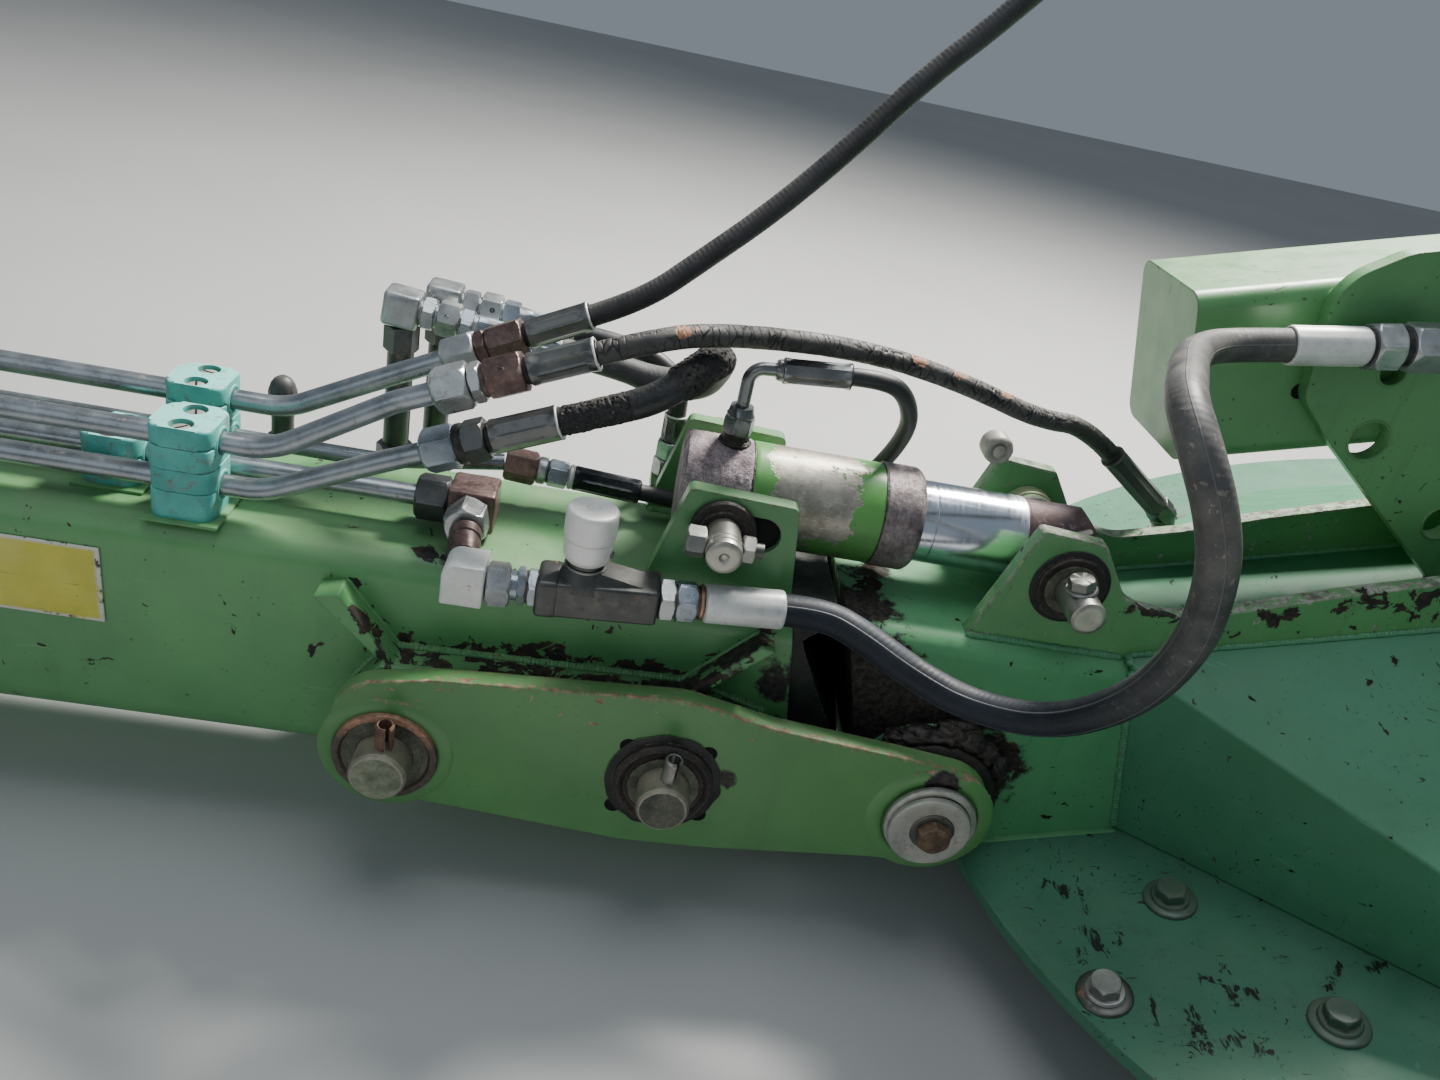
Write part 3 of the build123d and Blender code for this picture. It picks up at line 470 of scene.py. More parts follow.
mat["link"] = paint("paint_link", (0.099, 0.276, 0.082), (0.070, 0.205, 0.064), chips=0.15, edge=0.4, dirt=0.22, dust=0.22, rims=((0.40, 0.28, 0.18), (0.20, 0.115, 0.075)), rim_above=P(0, 0, 30)[2], rim_w=0.0060, rim_cover=0.51, lips=[(P(0, 0.5, 0)[1], P(0, 7.0, 0)[1])],
                    grease_and_shade=[(P(42, 0, 10), 0.001, 0.013), (P(192, -1, 30), 0.006, 0.018)])
mat["ear"] = paint("paint_ear", GREEN, GREEN_D, chips=0.4, edge=0.7, dirt=0.5, under=(0.13, 0.10, 0.075), rims=((0.20, 0.14, 0.10), (0.06, 0.04, 0.03)), rim_above=P(0, 0, 186)[2])
# the spots at H(-47, ...) on the box's face towards the boom are partly grease, partly painted shade of the gap
mat["head"] = paint("paint_head", (0.105, 0.345, 0.150), (0.078, 0.275, 0.122), chips=0.45, edge=0.5, dirt=0.5, dust=0.2, coat_w=0.0, spec=0.22, rough=0.42,
                    grease_and_shade=HINGE_GREASE + [(H(-47, 70, 120), 0.024, 0.050), (H(-47, 120, 60), 0.06, 0.10), (H(-47, 52, 30), 0.06, 0.09), (H(-47, 48, 85), 0.04, 0.07)],
                    flakes=[(H(-40, 60, 142), H(-10, 150, 134), 0.004, 0.018)], marks=0.3)
mat["wall"] = paint("paint_wall", GREEN, GREEN_D, chips=0.5, edge=0.8, dirt=0.5, under=(0.30, 0.27, 0.23), dust=0.2, rims=((0.40, 0.375, 0.34), (0.13, 0.115, 0.10)), rim_above=H(104, 50, 84)[2], rim_w=0.0035, rim_cover=0.47, lips=[(P(0, 200, 0)[1], P(0, 210, 0)[1])],
                    flakes=[(H(150, 52, 128), H(260, 52, 112), 0.002, 0.012), (H(300, 52, 118), H(700, 52, 124), 0.003, 0.014), (H(200, 64, 100), H(700, 64, 110), 0.004, 0.018)])
# shell's base colour is set darker than the head box's: partly its own tone, partly painted shade of its sloped faces
mat["shell"] = paint("paint_shell", (0.064, 0.222, 0.122), (0.053, 0.190, 0.098), coat_w=0.0, spec=0.30, chips=0.5, edge=0.45, dirt=0.45, dust=0.05, scuff=0.6, rough=0.40,
                     flakes=[(H(420, -270, -52), H(520, -330, -56), 0.003, 0.014)], marks=0.35,
                     ink=[(H(300, -160, -50), H(345, -195, -52), 0.003, 0.010)])
INK = (((85.8, -10.6), (96.7, -19.3), 3, 10), ((107, -6), (105.5, -39), 1, 4), ((99.4, -53), (106, -72), 2, 8), ((163, -101), (188, -113.6), 2, 8),
       ((177, -92), (175, -120), 1.5, 6), ((144, -122), (146, -148), 2, 7), ((137, -148), (163, -146), 3, 10), ((236, -114), (254, -95), 1, 4), ((269, -103), (278, -99), 2, 7),
       ((125, -108), (119, -131), 0.6, 2.4), ((174, -152), (179, -156), 2, 7), ((120, -60), (118, -66), 2, 6), ((92, -70), (88, -78), 2, 7), ((240, 330), (262, 350), 2, 8),
       ((700, -200), (730, -215), 2, 8), ((300, -250), (322, -262), 2, 8))
# base plate's base colour is set darker than the head box's: partly its own tone, partly painted shade
mat["plate"] = paint("paint_plate", (0.060, 0.196, 0.117), (0.042, 0.145, 0.088), coat_w=0.0, spec=0.25, rough=0.42, chips=0.5, edge=0.5, dirt=0.7, dust=0.10, scuff=0.7, marks=1.0,
                     ink=[(H(*p, -62), H(*q, -62), r0 / 1000, r1 / 1000) for p, q, r0, r1 in INK])
mat["carrier"] = paint("paint_carrier", (0.115, 0.33, 0.115), (0.080, 0.25, 0.088), chips=0.5, edge=0.6, dirt=0.6, dust=0.3, marks=1.2)
mat["weld"] = paint("paint_weld", GREEN, GREEN_D, chips=0.7, edge=0.2, dirt=0.9, dust=0.2)
mat["weld_head"] = paint("paint_weld_head", BLUISH, BLUISH_D, chips=0.6, edge=0.2, dirt=0.7, dust=0.2)
mat["pale_green"] = paint("paint_pale", (0.26, 0.40, 0.20), (0.17, 0.30, 0.14), chips=1.6, edge=1.4, dirt=0.6, under=(0.24, 0.13, 0.09), dust=0.5)
mat["pipe"] = zinc("zinc_pipe", (0.40, 0.43, 0.455), rust=0.10, rough=0.27, dirt=0.3)
mat["nut"] = zinc("zinc_nut", (0.52, 0.535, 0.53), rust=0.08, rough=0.27, dirt=0.30, metal=0.75)
mat["nut_blue"] = zinc("zinc_nut_blue", (0.41, 0.46, 0.51), rust=0.06, rough=0.25, dirt=0.4, metal=0.78)
mat["steel_mid"] = zinc("steel_mid", (0.27, 0.28, 0.285), rust=0.08, rough=0.26, dirt=0.45, rim=(0.55, 0.55, 0.53))
mat["nut_dark"] = zinc("zinc_nut_dark", (0.13, 0.135, 0.135), rust=0.15, rough=0.34, dirt=0.6, rim=(0.38, 0.38, 0.36))
mat["hex_rust"] = rusty("steel_hex_rust", (0.088, 0.054, 0.050), (0.215, 0.140, 0.128), black=0.10, rough=0.40, metal=0.45, bump=0.25)
mat["hex_orange"] = rusty("steel_hex_orange", (0.18, 0.105, 0.085), (0.36, 0.235, 0.19), black=0.1, rough=0.45, metal=0.4, bump=0.3)
mat["hinge_bolt"] = rusty("steel_hinge_bolt", (0.105, 0.080, 0.048), (0.34, 0.205, 0.125), black=0.25, rough=0.5, metal=0.35, grain=150, bump=0.3)
mat["ferrule"] = zinc("steel_ferrule", (0.185, 0.19, 0.185), rust=0.05, rough=0.30, dirt=0.5, rim=(0.42, 0.41, 0.38))
mat["ferrule_pale"] = zinc("steel_ferrule_pale", (0.80, 0.80, 0.77), rust=0.05, rough=0.40, dirt=0.20, metal=0.30, even=0.4)
mat["ferrule_black"] = zinc("steel_ferrule_black", (0.040, 0.044, 0.050), rust=0.0, rough=0.30, dirt=0.4, rim=(0.35, 0.35, 0.33))
mat["ferrule_port"] = zinc("steel_ferrule_port", (0.30, 0.305, 0.30), rust=0.0, rough=0.22, dirt=0.5, rim=(0.5, 0.5, 0.48))
mat["valve"] = zinc("steel_valve", (0.130, 0.130, 0.124), rust=0.05, rough=0.40, dirt=0.4, rim=(0.35, 0.33, 0.29))
mat["knob"] = zinc("alloy_knob", (0.93, 0.92, 0.88), rust=0.0, rough=0.45, dirt=0.02, brush=(900, 900, 12), metal=0.35, even=0.8)
mat["elbow"] = zinc("zinc_elbow", (0.80, 0.80, 0.76), rust=0.03, rough=0.40, dirt=0.15, brush=(300, 60, 700), metal=0.28, even=0.5)
mat["washer"] = zinc("steel_washer", (0.60, 0.585, 0.51), rust=0.22, rough=0.36, dirt=0.35, metal=0.6)
mat["lug"] = zinc("steel_lug", (0.42, 0.40, 0.34), rust=0.2, rough=0.5, dirt=0.35, metal=0.35)
mat["pin"] = zinc("steel_pin", (0.38, 0.355, 0.265), rust=0.22, rough=0.45, dirt=0.40, metal=0.6)
mat["pin_end"] = rusty("pin_end_olive", (0.070, 0.076, 0.052), (0.155, 0.160, 0.115), black=0.12, rough=0.5, metal=0.2, bump=0.3)
mat["pin_end_l"] = rusty("pin_end_green", (0.155, 0.190, 0.120), (0.33, 0.34, 0.235), black=0.05, rough=0.5, metal=0.15, grain=160, bump=0.3)
mat["pin_bright"] = zinc("steel_pin_bright", (0.52, 0.505, 0.44), rust=0.10, rough=0.32, dirt=0.3, brush=(40, 900, 900))
mat["bolt"] = zinc("steel_bolt", (0.42, 0.415, 0.38), rust=0.28, rough=0.36, dirt=0.4)
mat["bolt_dark"] = zinc("steel_bolt_dark", (0.15, 0.155, 0.14), rust=0.2, rough=0.40, dirt=0.7, rim=(0.36, 0.36, 0.33))
mat["bolt_green"] = paint("paint_bolt", (0.050, 0.115, 0.072), (0.035, 0.080, 0.052), chips=1.2, edge=1.0, dirt=1.0, under=(0.09, 0.085, 0.07), dust=0.25)
mat["ring_rust"] = rusty("steel_ring_rust", (0.17, 0.088, 0.058), (0.36, 0.215, 0.145), black=0.2, rough=0.55, metal=0.3)
mat["cast"] = rusty("cast_rust", (0.185, 0.135, 0.146), (0.64, 0.545, 0.57), black=0.0, rough=0.70, metal=0.25, grain=560, bump=1.0, dist=0.0012)
mat["gland"] = rusty("gland_rust", (0.175, 0.136, 0.138), (0.46, 0.39, 0.385), black=0.06, rough=0.50, metal=0.4, scratch=(700, 60, 60), bump=0.9)
mat["boss"] = rusty("boss_grease", (0.024, 0.020, 0.018), (0.065, 0.046, 0.038), black=0.6, rough=0.5, metal=0.1, bump=0.9, dist=0.0015)
# near-black material of the gap blocks: painted shade
mat["gap"] = rusty("gap_painted_shade", (0.010, 0.017, 0.011), (0.030, 0.044, 0.027), black=0.45, rough=0.62, metal=0.0, bump=0.9, dist=0.0012)
mat["seal_and_recess_shade"] = rusty("black_seal_and_recess_shade", (0.010, 0.010, 0.010), (0.028, 0.027, 0.026), black=0.3, rough=0.5, metal=0.0, bump=0.5)
mat["hose"] = rubber("rubber_main", (0.007, 0.010, 0.015), scuff=0.12, dust=0.06, rough=0.50, fine=0.16, seam=0.01728, spec=0.32, high=(P(0, 0, 140)[2], P(0, 0, 260)[2]), wound=0.16)
mat["hose_smooth"] = rubber("rubber_smooth", (0.013, 0.014, 0.016), scuff=0.15, dust=0.25, rough=0.42, fine=0.10)
mat["hose_wrap"] = rubber("rubber_wrapped", (0.016, 0.016, 0.017), scuff=0.3, dust=0.45, rough=0.58, fine=0.7, flecks=0.35)
mat["hose_old"] = rubber("rubber_cracked", (0.030, 0.029, 0.028), scuff=0.3, crack=1.0, rough=0.56, dust=0.40, ochre=0.25, fine=0.6, flecks=0.3,
                         spots=[(P(-38, 66, 300), 0.004, 0.011), (P(-30, 70, 301), 0.002, 0.008), (P(130, 146, 285), 0.004, 0.012), (P(165, 156, 276), 0.004, 0.012), (P(205, 166, 263), 0.004, 0.010)])
mat["hose_foam"] = rubber("rubber_porous", (0.011, 0.011, 0.011), scuff=0.1, crack=0.0, rough=0.72, dust=0.35, fine=1.6, flecks=0.8)
mat["hose_dusty"] = rubber("rubber_dusty", (0.034, 0.034, 0.035), scuff=0.4, dust=0.75, rough=0.58, fine=0.3, flecks=0.3)
# near-black for holes, notches, the screws' sinks and slots and the keyhole floor: painted shade of those recesses
mat["recess_shade"] = rubber("black_recess_shade", (0.002, 0.002, 0.002), scuff=0.0, dust=0.0, rough=0.95, fine=0.0)
mat["hose_port"] = rubber("rubber_port", (0.014, 0.015, 0.016), scuff=0.25, dust=0.30, rough=0.42)


def clamp_plastic():
    t = Tree("clamp_turquoise")
    a = t.noise(40, 5, 0.65)
    col = t.mix(t.span(a, 0.35, 0.68), (0.055, 0.34, 0.30), (0.12, 0.50, 0.43))
    # painted light: faces that point up are mixed towards a brighter turquoise, as if lit from above
    col = t.mix(t.mul(t.span(t.axis(t.normal, 2), 0.3, 0.95), 0.55), col, (0.34, 0.80, 0.72))
    pale = t.mul(t.span(t.noise(75, 5, 0.7), 0.54, 0.62), t.span(t.axis(t.normal, 2), 0.6, -0.2, 0.2, 0.75))
    col = t.mix(pale, col, (0.20, 0.235, 0.20))
    dirt = t.span(t.noise(150, 5, 0.72), 0.585, 0.68)
    col = t.mix(t.mul(dirt, 0.6), col, (0.10, 0.12, 0.085))
    e = t.mul(t.edge(0.0009), t.span(t.noise(200, 3), 0.4, 0.6))
    col = t.mix(t.mul(e, 0.45), col, (0.45, 0.74, 0.66))
    return t.done(col, t.span(a, 0.3, 0.7, 0.48, 0.64), 0.0, t.bump(t.op("ADD", t.mul(t.noise(500, 3), 0.3), t.mul(dirt, 0.4)), 0.4, 0.0005))


def yellow_plate():
    t = Tree("plate_yellow")
    a = t.noise(30, 5, 0.65)
    col = t.mix(t.span(a, 0.35, 0.7), (0.56, 0.52, 0.055), (0.70, 0.65, 0.10))
    fade = t.mul(t.span(t.noise(12, 4, 0.7), 0.45, 0.7), 0.5)
    col = t.mix(fade, col, (0.62, 0.60, 0.26))
    line = t.noise(1.0, 3, 0.6, vec=t.stretch(t.obj, (16, 60, 300)))
    s = t.mul(t.span(line, 0.66, 0.70), t.span(t.noise(20, 3), 0.45, 0.6))
    col = t.mix(t.mul(s, 0.7), col, (0.10, 0.12, 0.06))
    z, x = t.axis(t.obj, 2), t.axis(t.obj, 0)
    rimd = t.most(t.span(z, P(0, 0, 92)[2], P(0, 0, 94)[2]), t.span(x, P(-387, 0, 0)[0], P(-385, 0, 0)[0]), t.span(z, P(0, 0, 41)[2], P(0, 0, 39.5)[2]))
    rimd = t.mul(rimd, t.span(t.noise(55, 4, 0.7), 0.36, 0.44))
    col = t.mix(rimd, col, (0.66, 0.65, 0.58))
    e = t.mul(rimd, t.span(t.noise(150, 4, 0.7), 0.55, 0.60))
    col = t.mix(e, col, (0.05, 0.05, 0.03))
    sp = t.span(t.noise(260, 4, 0.75), 0.66, 0.72)
    col = t.mix(t.mul(sp, 0.7), col, (0.08, 0.07, 0.04))
    return t.done(col, t.span(a, 0.3, 0.7, 0.30, 0.46), 0.0, t.bump(t.mul(s, -1.0), 0.3, 0.0003))


def barrel_paint():
    """Paint worn through to scratched steel on the tube's middle, whole at both ends."""
    t = Tree("barrel_worn")
    x = t.axis(t.obj, 0)
    x0 = P(9, 0, 0)[0]
    mid = t.mul(t.span(x, x0 + 0.018, x0 + 0.036), t.span(x, x0 + 0.110, x0 + 0.086))
    low = t.span(t.axis(t.obj, 2), P(0, 0, 150)[2], P(0, 0, 172)[2])
    n = t.noise(27, 6, 0.70)
    wear = t.span(t.op("ADD", n, t.span(t.mul(mid, t.span(low, 0, 1, 0.55, 1.0)), 0, 1, -0.30, 0.11)), 0.49, 0.51)
    fine = t.noise(300, 4, 0.65)
    steel = t.mix(t.span(t.noise(60, 4, 0.7), 0.35, 0.68), (0.285, 0.26, 0.21), (0.54, 0.505, 0.43))
    lines = t.noise(1.0, 3, 0.6, vec=t.stretch(t.obj, (130, 620, 620)))
    steel = t.mix(t.mul(t.span(lines, 0.58, 0.70), 0.75), steel, (0.72, 0.70, 0.64))
    steel = t.mix(t.mul(t.span(t.noise(48, 5, 0.7), 0.50, 0.66), 0.40), steel, (0.17, 0.215, 0.11))
    steel = t.mix(t.mul(t.span(t.noise(90, 5, 0.72), 0.58, 0.70), 0.5), steel, (0.20, 0.125, 0.085))
    green = t.mix(t.span(t.noise(30, 4), 0.35, 0.65), (0.085, 0.27, 0.065), (0.13, 0.36, 0.09))
    col = t.mix(wear, green, steel)
    grime = t.span(t.noise(160, 4, 0.75), 0.64, 0.72)
    col = t.mix(t.mul(grime, 0.7), col, (0.03, 0.027, 0.022))
    ro = t.op("ADD", t.span(wear, 0, 1, 0.34, 0.42), t.mul(grime, 0.25))
    h = t.op("ADD", t.mul(wear, -0.7), t.mul(lines, 0.25))
    return t.done(col, ro, t.span(wear, 0, 1, 0.0, 0.72), t.bump(h, 0.5, 0.0005))


def chrome_rod():
    t = Tree("rod_chrome")
    n = t.noise(26, 4, 0.6)
    lines = t.noise(1.0, 3, 0.6, vec=t.stretch(t.obj, (500, 40, 40)))
    col = t.mix(t.span(n, 0.35, 0.7), (0.72, 0.78, 0.88), (0.84, 0.88, 0.96))
    spot = t.span(t.noise(150, 5, 0.75), 0.655, 0.70)
    col = t.mix(t.mul(spot, 0.75), col, (0.13, 0.11, 0.10))
    end = t.mul(t.span(t.axis(t.obj, 0), C(206, 0, 0)[0], C(219, 0, 0)[0]), t.span(t.noise(60, 5, 0.7), 0.3, 0.6))
    col = t.mix(t.mul(end, 0.6), col, (0.20, 0.12, 0.09))
    ro = t.op("ADD", t.span(lines, 0.3, 0.75, 0.13, 0.24), t.mul(t.most(spot, end), 0.35))
    return t.done(col, ro, 1.0, t.bump(t.op("ADD", t.mul(lines, 0.3), t.mul(spot, -0.6)), 0.12, 0.0003))


mat["clamp"] = clamp_plastic()
mat["yellow"] = yellow_plate()
mat["barrel"] = barrel_paint()
mat["chrome"] = chrome_rod()


def rod_end():
    t = Tree("rod_end_rust")
    a, b = t.noise(30, 5, 0.66), t.noise(240, 4, 0.7)
    col = t.mix(t.span(a, 0.35, 0.68), (0.032, 0.024, 0.040), (0.105, 0.062, 0.058))
    col = t.mix(t.mul(t.span(b, 0.56, 0.68), 0.7), col, (0.24, 0.19, 0.18))
    arc = t.most(t.line(C(SPAN_ - 14, -27.6, 10.5), C(SPAN_ + 6, -23.6, 17.8), 0.0012, 0.0026), t.line(C(SPAN_ + 6, -23.6, 17.8), C(SPAN_ + 22, -19.0, 22.6), 0.0012, 0.0024))
    arc = t.mul(arc, t.span(t.noise(90, 4, 0.6), 0.30, 0.46))
    col = t.mix(arc, col, (0.74, 0.66, 0.56))
    ro = t.op("SUBTRACT", t.span(a, 0.3, 0.7, 0.36, 0.6), t.mul(arc, 0.15))
    return t.done(col, ro, t.span(arc, 0, 1, 0.45, 0.95), t.bump(t.op("ADD", t.mul(b, 0.6), t.mul(arc, -0.4)), 0.5, 0.0006))




def ring_left():
    t = Tree("steel_ring_left")
    a, b = t.noise(46, 5, 0.65), t.noise(280, 4, 0.7)
    col = t.mix(t.span(b, 0.3, 0.7), (0.055, 0.043, 0.034), (0.13, 0.105, 0.085))
    up = t.mul(t.span(t.axis(t.obj, 2), P(0, 0, 4)[2], P(0, 0, 16)[2]), t.span(t.noise(34, 4, 0.6), 0.32, 0.5))
    col = t.mix(up, col, t.mix(t.span(b, 0.35, 0.65), (0.24, 0.115, 0.07), (0.46, 0.27, 0.18)))
    return t.done(col, t.span(a, 0.3, 0.7, 0.42, 0.62), 0.3, t.bump(b, 0.4, 0.0006))


mat["ring_left"] = ring_left()
SPAN_ = math.hypot(250.98 - 9.0, 172.97 - 173.5)
mat["eye"] = rod_end()
mat["plastic"] = rubber("black_plastic", (0.020, 0.020, 0.020), scuff=0.1, rough=0.42, dust=0.45)
mat["copper"] = rusty("steel_copper", (0.40, 0.20, 0.12), (0.60, 0.38, 0.28), black=0.1, rough=0.4, metal=0.8, bump=0.2)


# ------------------------------------------------------------------ mesh kit
def basis(u, ref=None):
    u = Vector(u).normalized()
    ref = Vector(ref) if ref is not None else (Z3 if abs(u.z) < 0.92 else X3)
    e1 = (ref - u * ref.dot(u)).normalized()
    return u, e1, u.cross(e1)


class Piece:
    """Collects shells into one mesh; each shell has a material index."""

    def __init__(s):
        s.v, s.f, s.m, s.uv = [], [], [], []

    def add(s, v, f, m=0):
        k = len(s.v)
        s.v += [tuple(p) for p in v]
        s.f += [tuple(i + k for i in q) for q in f]
        s.m += [m] * len(f)

    def lathe(s, a, u, prof, seg=40, m=0, fn=None, ref=None, turn=0.0):
        """Round piece: prof holds (station mm, radius mm) along u from the point a; fn changes the radius by angle."""
        u, e1, e2 = basis(u, ref)
        v, f, rows = [], [], []
        for st, r in prof:
            c = Vector(a) + u * (st / 1000)
            if r <= 0:
                rows.append([len(v)])
                v.append(c)
                continue
            row = []
            for i in range(seg):
                th = 2 * math.pi * i / seg + turn
                rr = fn(st, 2 * math.pi * i / seg, r) if fn else r
                row.append(len(v))
                v.append(c + (e1 * math.cos(th) + e2 * math.sin(th)) * (rr / 1000))
            rows.append(row)
        for p, q in zip(rows, rows[1:]):
            for i in range(seg):
                j = (i + 1) % seg
                if len(p) == 1 and len(q) == 1:
                    continue
                if len(p) == 1:
                    f.append((p[0], q[j], q[i]))
                elif len(q) == 1:
                    f.append((p[i], p[j], q[0]))
                else:
                    f.append((p[i], p[j], q[j], q[i]))
        s.add(v, f, m)

    def hexa(s, a, u, s0, s1, rc, m=0, cham=1.0, bore=0.0, ref=None, turn=0.0, both=True):
        """Hexagon with rc across its corners, its ends turned down to a cone as on a nut."""
        af = rc * math.cos(math.pi / 6)
        face = af * 0.96
        run = (rc - face) * 0.62 * cham
        length = s1 - s0
        run = min(run, length * 0.35)

        def cone(st, th, r):
            k = math.fmod(th, math.pi / 3)
            hexr = af / math.cos(k - math.pi / 6)
            d = min(st - s0, s1 - st) if both else (s1 - st)
            lim = face + (rc - face) * max(0.0, d) / run
            return min(hexr, lim)
        st = [s0, s0 + run * 0.35, s0 + run * 0.7, s0 + run, s1 - run, s1 - run * 0.7, s1 - run * 0.35, s1]
        prof = [(s0, -1)] if False else []
        inner = bore if bore else 0.0
        prof = [(s0, inner)] + [(q, rc) for q in st] + [(s1, inner)]

        def fn(q, th, r):
            return r if r == inner else cone(q, th, r)
        if not bore:
            prof = [(s0, 0)] + [(q, rc) for q in st] + [(s1, 0)]
        s.lathe(a, u, prof, seg=72, m=m, fn=fn, ref=ref, turn=turn)

    def crimp(s, a, u, s0, s1, r, m=0, m_rim=None, facets=10, collar=4.0, dents=0.055, turn=0.0, grooves=()):
        """Hose ferrule: pressed flats along it, round collars at both ends and a lip where the hose goes in."""
        n = 16

        def fn(q, th, rr):
            t = (q - s0) / (s1 - s0)
            press = min(1.0, max(0.0, (q - s0 - collar) / 3.0)) * min(1.0, max(0.0, (s1 - collar * 0.8 - q) / 3.0))
            k = math.fmod(th, 2 * math.pi / facets) / (2 * math.pi / facets) - 0.5
            flat = math.cos(math.pi / facets) / math.cos(k * 2 * math.pi / facets)
            ridge = math.exp(-(((0.5 - abs(k)) * 2 * math.pi / facets * rr) / 0.75) ** 2)
            out = rr * (1 + press * (flat - 1) * (1 - 0.75 * ridge) - press * dents * (1 - ridge))
            for g in grooves:
                out -= 0.45 * math.exp(-((q - s0 - g) / 0.7) ** 2)
            return out
        prof = [(s0, 0), (s0, r * 0.82), (s0 + 0.8, r * 0.96), (s0 + 1.6, r)]
        prof += [(s0 + 2 + (s1 - s0 - 4.2) * i / n, r) for i in range(n + 1)]
        prof += [(s1 - 1.5, r), (s1 - 0.7, r * 0.985), (s1 - 0.1, r * 0.95), (s1, r * 0.80), (s1 - 1.2, r * 0.76), (s1 - 1.2, 0)]
        s.lathe(a, u, prof, seg=facets * 12, m=m, fn=lambda q, th, rr: fn(q, th, rr) if rr == r else rr, turn=turn)
        if m_rim is not None:
            s.lathe(a, u, [(s1 - 1.1, r * 0.90), (s1 - 1.1, r * 1.012), (s1 - 0.3, r * 1.02), (s1 + 0.05, r * 0.98), (s1 + 0.05, r * 0.88), (s1 - 1.1, r * 0.90)], seg=48, m=m_rim)

    def block(s, c, size, bev=1.0, m=0, axes=None, segs=2, taper=None, rough=0.0, seed=0):
        """Rounded block about the point c, size and bevel in mm, along three axes."""
        ax = axes or (X3, Y3, Z3)
        bm = bmesh.new()
        bmesh.ops.create_cube(bm, size=1.0)
        for q in bm.verts:
            q.co = Vector((q.co.x * size[0], q.co.y * size[1], q.co.z * size[2]))
            if taper and q.co.z > 0:
                q.co.x *= taper
                q.co.y *= taper
        bmesh.ops.bevel(bm, geom=bm.edges[:] + bm.verts[:], offset=bev, segments=segs, profile=0.5, affect="EDGES", clamp_overlap=True)
        if rough:
            bmesh.ops.subdivide_edges(bm, edges=bm.edges[:], cuts=2, use_grid_fill=True)
            for q in bm.verts:
                q.co += q.normal * rough * noise.noise(q.co * 0.25 + Vector((seed, 3, 5)))
        bm.verts.index_update()
        v = [Vector(c) + (ax[0] * q.co.x + ax[1] * q.co.y + ax[2] * q.co.z) / 1000 for q in bm.verts]
        f = [tuple(q.index for q in p.verts) for p in bm.faces]
        bm.free()
        s.add(v, f, m)

    def slab(s, x0, x1, y0, y1, z0, z1, rad, bev, m=0, m_hole=None, holes=(), hole_r=7.7, deep=8.0):
        """Block in the pin frame with round upright corners, softened rims and round sunk holes in its top."""
        bm = bmesh.new()
        ring = []
        for cx, cy, a0 in ((x1 - rad, y1 - rad, 0), (x0 + rad, y1 - rad, 90), (x0 + rad, y0 + rad, 180), (x1 - rad, y0 + rad, 270)):
            for k in range(7):
                th = math.radians(a0 + 15 * k)
                ring.append((cx + rad * math.cos(th), cy + rad * math.sin(th)))
        lo = [bm.verts.new((x, y, z0)) for x, y in ring]
        hi = [bm.verts.new((x, y, z1)) for x, y in ring]
        n = len(ring)
        bot = bm.faces.new(lo[::-1])
        top = bm.faces.new(hi)
        for k in range(n):
            bm.faces.new((lo[k], lo[(k + 1) % n], hi[(k + 1) % n], hi[k]))
        rim = list(top.edges) + list(bot.edges)
        bmesh.ops.bevel(bm, geom=rim, offset=bev, segments=3, profile=0.5, affect="EDGES", clamp_overlap=True)
        me = bpy.data.meshes.new("slab_work")
        bm.to_mesh(me)
        bm.free()
        ob = bpy.data.objects.new("slab_work", me)
        bpy.context.scene.collection.objects.link(ob)
        tools = []
        for hx, hy in holes:
            cb_ = bmesh.new()
            bmesh.ops.create_cone(cb_, cap_ends=True, segments=36, radius1=hole_r - 0.4, radius2=hole_r, depth=deep + 4, matrix=Matrix.Translation((hx, hy, z1 - deep / 2 + 2)))
            cm = bpy.data.meshes.new("slab_tool")
            cb_.to_mesh(cm)
            cb_.free()
            co = bpy.data.objects.new("slab_tool", cm)
            bpy.context.scene.collection.objects.link(co)
            md = ob.modifiers.new("cut", "BOOLEAN")
            md.operation = "DIFFERENCE"
            md.solver = "EXACT"
            md.object = co
            tools.append(co)
        bpy.context.view_layer.update()
        got = bpy.data.meshes.new_from_object(ob.evaluated_get(bpy.context.evaluated_depsgraph_get()))
        v = [P(*q.co) for q in got.vertices]
        f = [tuple(q.vertices) for q in got.polygons]
        s.add(v, f, m)
        for o in tools + [ob]:
            d = o.data
            bpy.data.objects.remove(o)
            bpy.data.meshes.remove(d)
        bpy.data.meshes.remove(got)

